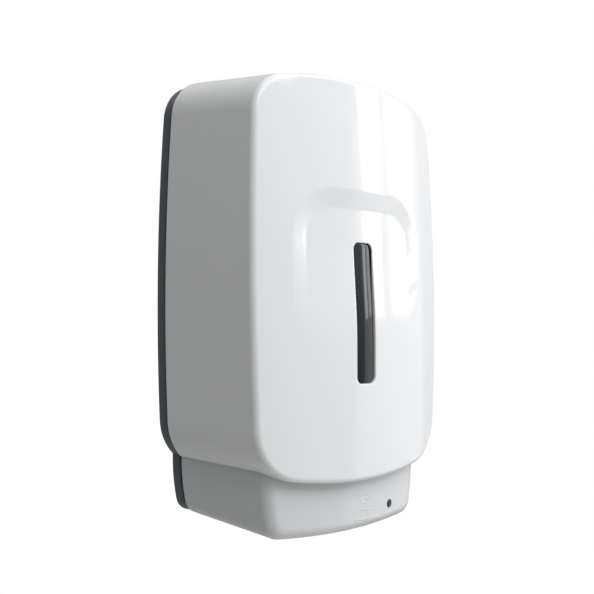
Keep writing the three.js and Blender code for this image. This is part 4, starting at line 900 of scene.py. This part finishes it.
def wall_plate():
    rim = worked(plate_layer(1.5, 0, -6.5, 0.7), [chin_layer(0.75, 0, -6.5, 0.7)], "UNION")
    collar = worked(plate_layer(4, -6, -9, 0.3), [chin_layer(3.25, -6, -9, 0.3)], "UNION")
    pocket = worked(plate_layer(6.5, -3, -12, 0.0), [chin_layer(5.75, -3, -12, 0.0)], "UNION")
    swing = on_hinge(turned([(0, -100), (HINGE_SWING, -100), (HINGE_SWING, 100), (0, 100)], 64))
    plate = worked(worked(rim, [collar], "UNION"), [pocket, swing])
    holes = []
    housing_x, housing_z, housing_radius = HOUSING_HOLE
    for side in (-1, 1):
        x = WALL_HOLE_X * side
        slot = [(x + KEYHOLE_SLOT * sin(a * pi / 12), KEYHOLE_TOP + KEYHOLE_SLOT * cos(a * pi / 12))
                for a in range(-6, 7)]
        slot += [(x + KEYHOLE_SLOT, KEYHOLE_Z), (x - KEYHOLE_SLOT, KEYHOLE_Z)]
        holes += [bore_back(x, KEYHOLE_Z, KEYHOLE_RADIUS, 5, -8),
                  bore_back(x, LOWER_HOLE_Z, LOWER_HOLE_RADIUS, 5, -8), pressed(slot, 5, -8),
                  bore_back(housing_x * side, housing_z, housing_radius, 5, -8)]
    for hole in holes:
        plate = worked(plate, [hole])
    return plate


def plate_ear(x0, x1):
    arm = [(-4.8, 0), (-4.8, -22), (15, -34), (15, -20), (3.6, -13), (3.9, -1)]
    points = [(HINGE_Y + y, HINGE_Z + z) for y, z in arm]
    points += [(HINGE_Y + 4.4 * cos(pi * i / 16), HINGE_Z + 4.2 * sin(pi * i / 16))
               for i in range(1, 16)]
    return side_on(pressed(points, x0, x1, 0.4))


fitted(wall_plate(), "wall_plate", "slate_plate", "frame", ["back_plate"], sharp=30)
for side, word in ((-1, "left"), (1, "right")):
    ear = worked(plate_ear(*sorted(x * side for x in PLATE_EAR_X)), [hinge_bore(60)])
    fitted(ear, f"plate_hinge_ear_{word}", "slate_plate", "frame")
    pin_low, pin_high = reach(f"hinge_pin_{word}")
    pin = turned([(0, pin_low.x), (1.6, pin_low.x), (2, pin_low.x + 0.4), (2, pin_high.x - 0.4),
                  (1.6, pin_high.x), (0, pin_high.x)], 32)
    fitted(on_hinge(pin), f"hinge_pin_{word}_steel", "steel", "frame", [f"hinge_pin_{word}"])


# ---------------------------------------------------------------- tank and filler cap

tank_low, tank_high = reach("tank")
TANK_TOP = 94
TANK_BOTTOM = -48
TANK_REAR_Y = -25.5
TANK_CORNER = 12


def tank_plan():
    """Straight back, round corners and a front that follows the cover's curve."""
    front = -tank_low.y
    half = tank_high.x - TANK_CORNER
    radius = FRONT_RADIUS - (COVER_DEPTH - front)
    middle = -front + radius
    lean = atan2(half, sqrt((radius - TANK_CORNER) ** 2 - half ** 2))
    corner_y = middle - (radius - TANK_CORNER) * cos(lean)
    arcs = [
        (half, TANK_REAR_Y - TANK_CORNER, TANK_CORNER, pi / 2, 0, 14),
        (half, corner_y, TANK_CORNER, 0, -pi / 2 + lean, 14),
        (0, middle, radius, -pi / 2 + lean, -pi / 2 - lean, 30),
        (-half, corner_y, TANK_CORNER, -pi / 2 - lean, -pi, 14),
        (-half, TANK_REAR_Y - TANK_CORNER, TANK_CORNER, pi, pi / 2, 14),
    ]
    points = []
    for x, y, r, start, end, count in arcs:
        for i in range(count + 1):
            angle = start + (end - start) * i / count
            point = (x + r * cos(angle), y + r * sin(angle))
            if not points or hypot(point[0] - points[-1][0], point[1] - points[-1][1]) > 0.01:
                points.append(point)
    return points


def tank_bottle():
    plan = [(x, -y) for x, y in tank_plan()]
    body = pressed(plan, TANK_BOTTOM, TANK_TOP, 2.5, 5)
    body.data.transform(Matrix(((1, 0, 0, 0), (0, 0, -1, 0), (0, 1, 0, 0), (0, 0, 0, 1))))
    neck = turned_at("cap_gasket", [
        (12.5, 90), (15, 90), (15, 95.5), (15.3, 95.8), (15.3, 96.6), (15, 96.9), (15, 98),
        (15.3, 98.3), (15.3, 99.1), (15, 99.4), (15, 100.6), (14.6, 101), (12.9, 101),
        (12.5, 100.6), (12.5, 90)], 64)
    low = tank_low.z
    spout = turned_at("socket_seal", [
        (5, -40), (8, -40), (8, low + 0.6), (7.4, low), (5.6, low), (5, low + 0.6), (5, -40)], 56)
    marks = [rounded_block((-9 if k % 2 else -14, tank_low.y - 0.25, -30 + 18 * k),
                           (9 if k % 2 else 14, tank_low.y + 1.2, -28.8 + 18 * k), 0.2)
             for k in range(6)]
    return together([body, neck, spout] + marks)


fitted(tank_bottle(), "tank_bottle", "tank_plastic", "tank", ["tank"], sharp=35)


def filler_cap():
    low, high = reach("filler_cap")
    crown = high.z - 4
    profile = [(0, crown - 2.5), (15.5, crown - 2.5), (15.5, low.z), (18.6, low.z),
               (19, low.z + 0.4), (19, crown - 1.2), (18.7, crown - 0.5), (18, crown),
               (15.8, crown), (15.2, crown - 0.4), (0, crown - 0.5)]
    cap = turned(profile, 96)
    grip = rounded_block((-15, -2.5, crown - 1), (15, 2.5, high.z), 1.2, 4)
    ribs = []
    for k in range(36):
        rib = rounded_block((18.2, -0.45, low.z + 1), (18.98, 0.45, crown - 1.6), 0.15, 2)
        ribs.append(moved(rib, (0, 0, 0), 360 * k / 36, "Z"))
    at = centre("filler_cap")
    return moved(together([cap, grip] + ribs), (at.x, at.y, 0))


fitted(filler_cap(), "filler_cap_turned", "blue_cap", "cap", ["filler_cap"], sharp=35)


# ---------------------------------------------------------------- turned and wired parts

SCREW_HEAD = 1.8


def screw_blank(length):
    """Pan head with a cross recess, head up, seated at zero."""
    thread = []
    for k in range(int(length / 0.8) - 1):
        z = -0.8 - 0.8 * k
        thread += [(1.0, z), (0.82, z - 0.4)]
    profile = [(0, 1.75), (0.9, 1.75), (1.9, 1.55), (2.45, 1.0), (2.6, 0.4), (2.6, 0), (1.0, 0)]
    blank = turned(profile + thread + [(0.7, -length + 0.3), (0, -length)], 28)
    cross = [rounded_block((-1.4, -0.28, 0.8), (1.4, 0.28, 3)),
             rounded_block((-0.28, -1.4, 0.8), (0.28, 1.4, 3))]
    return worked(blank, cross)


def place_screw(node, length, lying):
    at, high = centre(node), reach(node)[1]
    blank = screw_blank(length)
    if lying:
        moved(blank, (at.x, high.y - SCREW_HEAD, at.z), -90, "X")
    else:
        moved(blank, (at.x, at.y, high.z - SCREW_HEAD))
    fitted(blank, node + "_cross", "steel", "frame", [node])


for stem, ends, length in (("housing", ("left", "right"), 13), ("deck", ("left", "right"), 6.5),
                           ("pump", (1, 2), 6)):
    for end in ends:
        place_screw(f"{stem}_screw_{end}", length, lying=stem == "housing")

for k in range(1, 5):
    node = f"cell_{k}"
    low, high = reach(node)
    at = centre(node)
    length = high.z - low.z
    jacket = [(0, 0), (5.2, 0), (5.4, 0.25), (6.6, 0.25), (7.1, 0.5), (7.25, 0.9),
              (7.25, length - 2.1), (7.1, length - 1.6), (6.7, length - 1.4), (5.6, length - 1.4),
              (5.4, length - 1.2), (2.7, length - 1.2), (2.7, length - 0.3), (2.4, length),
              (0, length)]
    cell = turned(jacket, 48)
    if k % 2 == 1:
        moved(cell, (at.x, at.y, low.z))
    else:
        moved(cell, (at.x, at.y, high.z), 180, "X")
    fitted(cell, f"{node}_jacketed", "cell_jacket", "frame", [node])

for k in range(1, 4):
    node = f"roller_{k}"
    low, high = reach(node)
    profile = [(1.5, low.z), (3.1, low.z), (3.5, low.z + 0.4), (3.5, high.z - 0.4),
               (3.1, high.z), (1.5, high.z), (1.5, low.z)]
    fitted(turned_at(node, profile, 40), f"{node}_sleeve", "grey_roller", node, [node])


def motor_can():
    low, high = reach("motor_can")
    base = low.z + 1.5
    profile = [(1.3, base), (3.2, low.z), (3.2, base), (9.9, base), (10.2, base + 0.3),
               (10.2, base + 4), (10.05, base + 4.2), (10.05, base + 4.8), (10.2, base + 5),
               (10.2, high.z - 1.2), (9.9, high.z - 0.5), (9.2, high.z), (3.4, high.z),
               (3.2, high.z - 0.3), (0, high.z - 0.3), (0, base + 6), (1.3, base + 6), (1.3, base)]
    return turned_at("motor_can", profile, 64)


fitted(motor_can(), "motor_can_drawn", "steel", "frame", ["motor_can"])

for node, name in (("rotor_shaft", "rotor_shaft_ground"), ("idler_pin", "idler_pin_ground")):
    low, high = reach(node)
    radius = (high.x - low.x) / 2
    rod = turned_at(node, [(0, low.z), (radius - 0.3, low.z), (radius, low.z + 0.3),
                           (radius, high.z - 0.3), (radius - 0.3, high.z), (0, high.z)], 40)
    fitted(rod, name, "steel", body_of_node[node], [node])


def capacitor():
    low, high = reach("board_capacitor")
    profile = [(0, low.z), (3.7, low.z), (4, low.z + 0.4), (4, low.z + 1.2), (3.75, low.z + 1.5),
               (4, low.z + 1.8), (4, high.z - 0.5), (3.6, high.z), (3.0, high.z),
               (2.9, high.z - 0.15), (0, high.z - 0.15)]
    return turned_at("board_capacitor", profile, 40)


fitted(capacitor(), "board_capacitor_can", "black_plastic", "frame", ["board_capacitor"])


def rounded_strand(node):
    """A node's own tube, smoothed round."""
    bm = own_mesh(node)
    bmesh.ops.join_triangles(bm, faces=bm.faces, angle_face_threshold=radians(60),
                             angle_shape_threshold=radians(60))
    bmesh.ops.subdivide_edges(bm, edges=bm.edges, cuts=1, use_grid_fill=True, smooth=1.0)
    return own_piece(bm, node, "_rounded", 60)


for node in ("soap_tube", "battery_lead", "motor_lead", "sensor_lead", "latch_spring"):
    rounded_strand(node)

# Everything else keeps its own shape with its corners eased.
EASING = {"deck": 0.4, "pump_housing": 0.4, "battery_box": 0.4, "battery_lid": 0.4,
          "tank_socket": 0.4, "cover_latch": 0.3, "sensor_window": 0.5}
SLIGHT_EASING = 0.15
for node in sorted(cad_nodes):
    if node not in drawn:
        eased(node, EASING.get(node, SLIGHT_EASING))


# ---------------------------------------------------------------- camera, light and floor

def softbox(name, azimuth, elevation, distance, width, height, radiance, tint=(1, 1, 1)):
    """A soft rectangular light. Azimuth 0 is straight in front, positive to the right."""
    light = bpy.data.lights.new(name, "AREA")
    light.shape = "RECTANGLE"
    light.size = width
    light.size_y = height
    light.energy = radiance * pi * width * height
    light.color = tint
    lamp = bpy.data.objects.new(name, light)
    bpy.context.scene.collection.objects.link(lamp)
    az, el = radians(azimuth), radians(elevation)
    place = Vector((sin(az) * cos(el), -cos(az) * cos(el), sin(el))) * distance
    lamp.location = place
    lamp.rotation_euler = (-place).to_track_quat("-Z", "Y").to_euler()
    lamp.visible_camera = False


softbox("window_pane_near", 52.3, 30, 1.6, 0.22, 1.6, 3.6, (0.97, 0.985, 1))
softbox("window_pane_far", 64, 30, 1.6, 0.3, 1.6, 1.7, (0.98, 0.99, 1))
softbox("window_low", 59, -6, 1.6, 0.8, 1.5, 0.8, (0.98, 0.99, 1))
softbox("front_key", 2, 41, 1.7, 1.5, 1.0, 3.55)
softbox("top_fill", 20, 78, 1.6, 1.6, 1.2, 1.15)

world = bpy.data.worlds.new("studio")
bpy.context.scene.world = world
world.use_nodes = True
studio = world.node_tree
studio.nodes.clear()
direction = add(studio, "ShaderNodeTexCoord").outputs["Generated"]
parts = add(studio, "ShaderNodeSeparateXYZ", [(0, direction)])
sideways = add(studio, "ShaderNodeMapRange",
               [("Value", parts.outputs["X"]), ("From Min", -1.0), ("From Max", 1.0),
                ("To Min", 0.225), ("To Max", 0.6)])
upwards = add(studio, "ShaderNodeMapRange",
              [("Value", parts.outputs["Z"]), ("From Min", -1.0), ("From Max", 1.0),
               ("To Min", 0.7), ("To Max", 1.3)])
strength = add(studio, "ShaderNodeMath", [(0, sideways.outputs[0]), (1, upwards.outputs[0])],
               operation="MULTIPLY")
around = add(studio, "ShaderNodeBackground", [("Strength", strength.outputs[0])])
seen = add(studio, "ShaderNodeBackground", [("Color", (1, 1, 1, 1)), ("Strength", 1.0)])
chosen = add(studio, "ShaderNodeMixShader",
             [(0, add(studio, "ShaderNodeLightPath").outputs["Is Camera Ray"]),
              (1, around.outputs[0]), (2, seen.outputs[0])])
add(studio, "ShaderNodeOutputWorld", [("Surface", chosen.outputs[0])])
bpy.context.scene.view_settings.view_transform = "Standard"

FLOOR_RADIUS = 1.6
FLOOR_CENTRE = (0, -0.6, -1.25)
bm = bmesh.new()
bmesh.ops.create_circle(bm, cap_ends=True, segments=96, radius=FLOOR_RADIUS)
bmesh.ops.translate(bm, vec=FLOOR_CENTRE, verts=bm.verts)
floor = shape_from(bm, "floor")
floor_material, floor_tree, floor_shader = new_material("pale_floor")
floor_skin = with_effect(floor_tree, moulded_skin, {
    "Colour": (0.86, 0.86, 0.85, 1), "Drift": 0.03, "Roughness": 0.6, "Gloss Spread": 0.1,
    "Grain Size": 400.0})
coat(floor_tree, floor_skin, floor_shader)
floor.data.materials.append(floor_material)

EYE = Vector((-0.4294, -0.4351, -0.0135))
AIM = Vector((-0.02105, -0.050, -0.00009))
LENS = 59.566
ROLL = 0.48
look = (AIM - EYE).normalized()
right = look.cross(Vector((0, 0, 1))).normalized()
up = right.cross(look)
tilt = radians(ROLL)
right, up = right * cos(tilt) + up * sin(tilt), up * cos(tilt) - right * sin(tilt)
camera_data = bpy.data.cameras.new("studio_camera")
camera_data.sensor_width = 36
camera_data.lens = LENS
camera_data.clip_start = 0.01
camera = bpy.data.objects.new("studio_camera", camera_data)
camera.matrix_world = Matrix((
    (right.x, up.x, -look.x, EYE.x),
    (right.y, up.y, -look.y, EYE.y),
    (right.z, up.z, -look.z, EYE.z),
    (0, 0, 0, 1)))
bpy.context.scene.collection.objects.link(camera)
bpy.context.scene.camera = camera
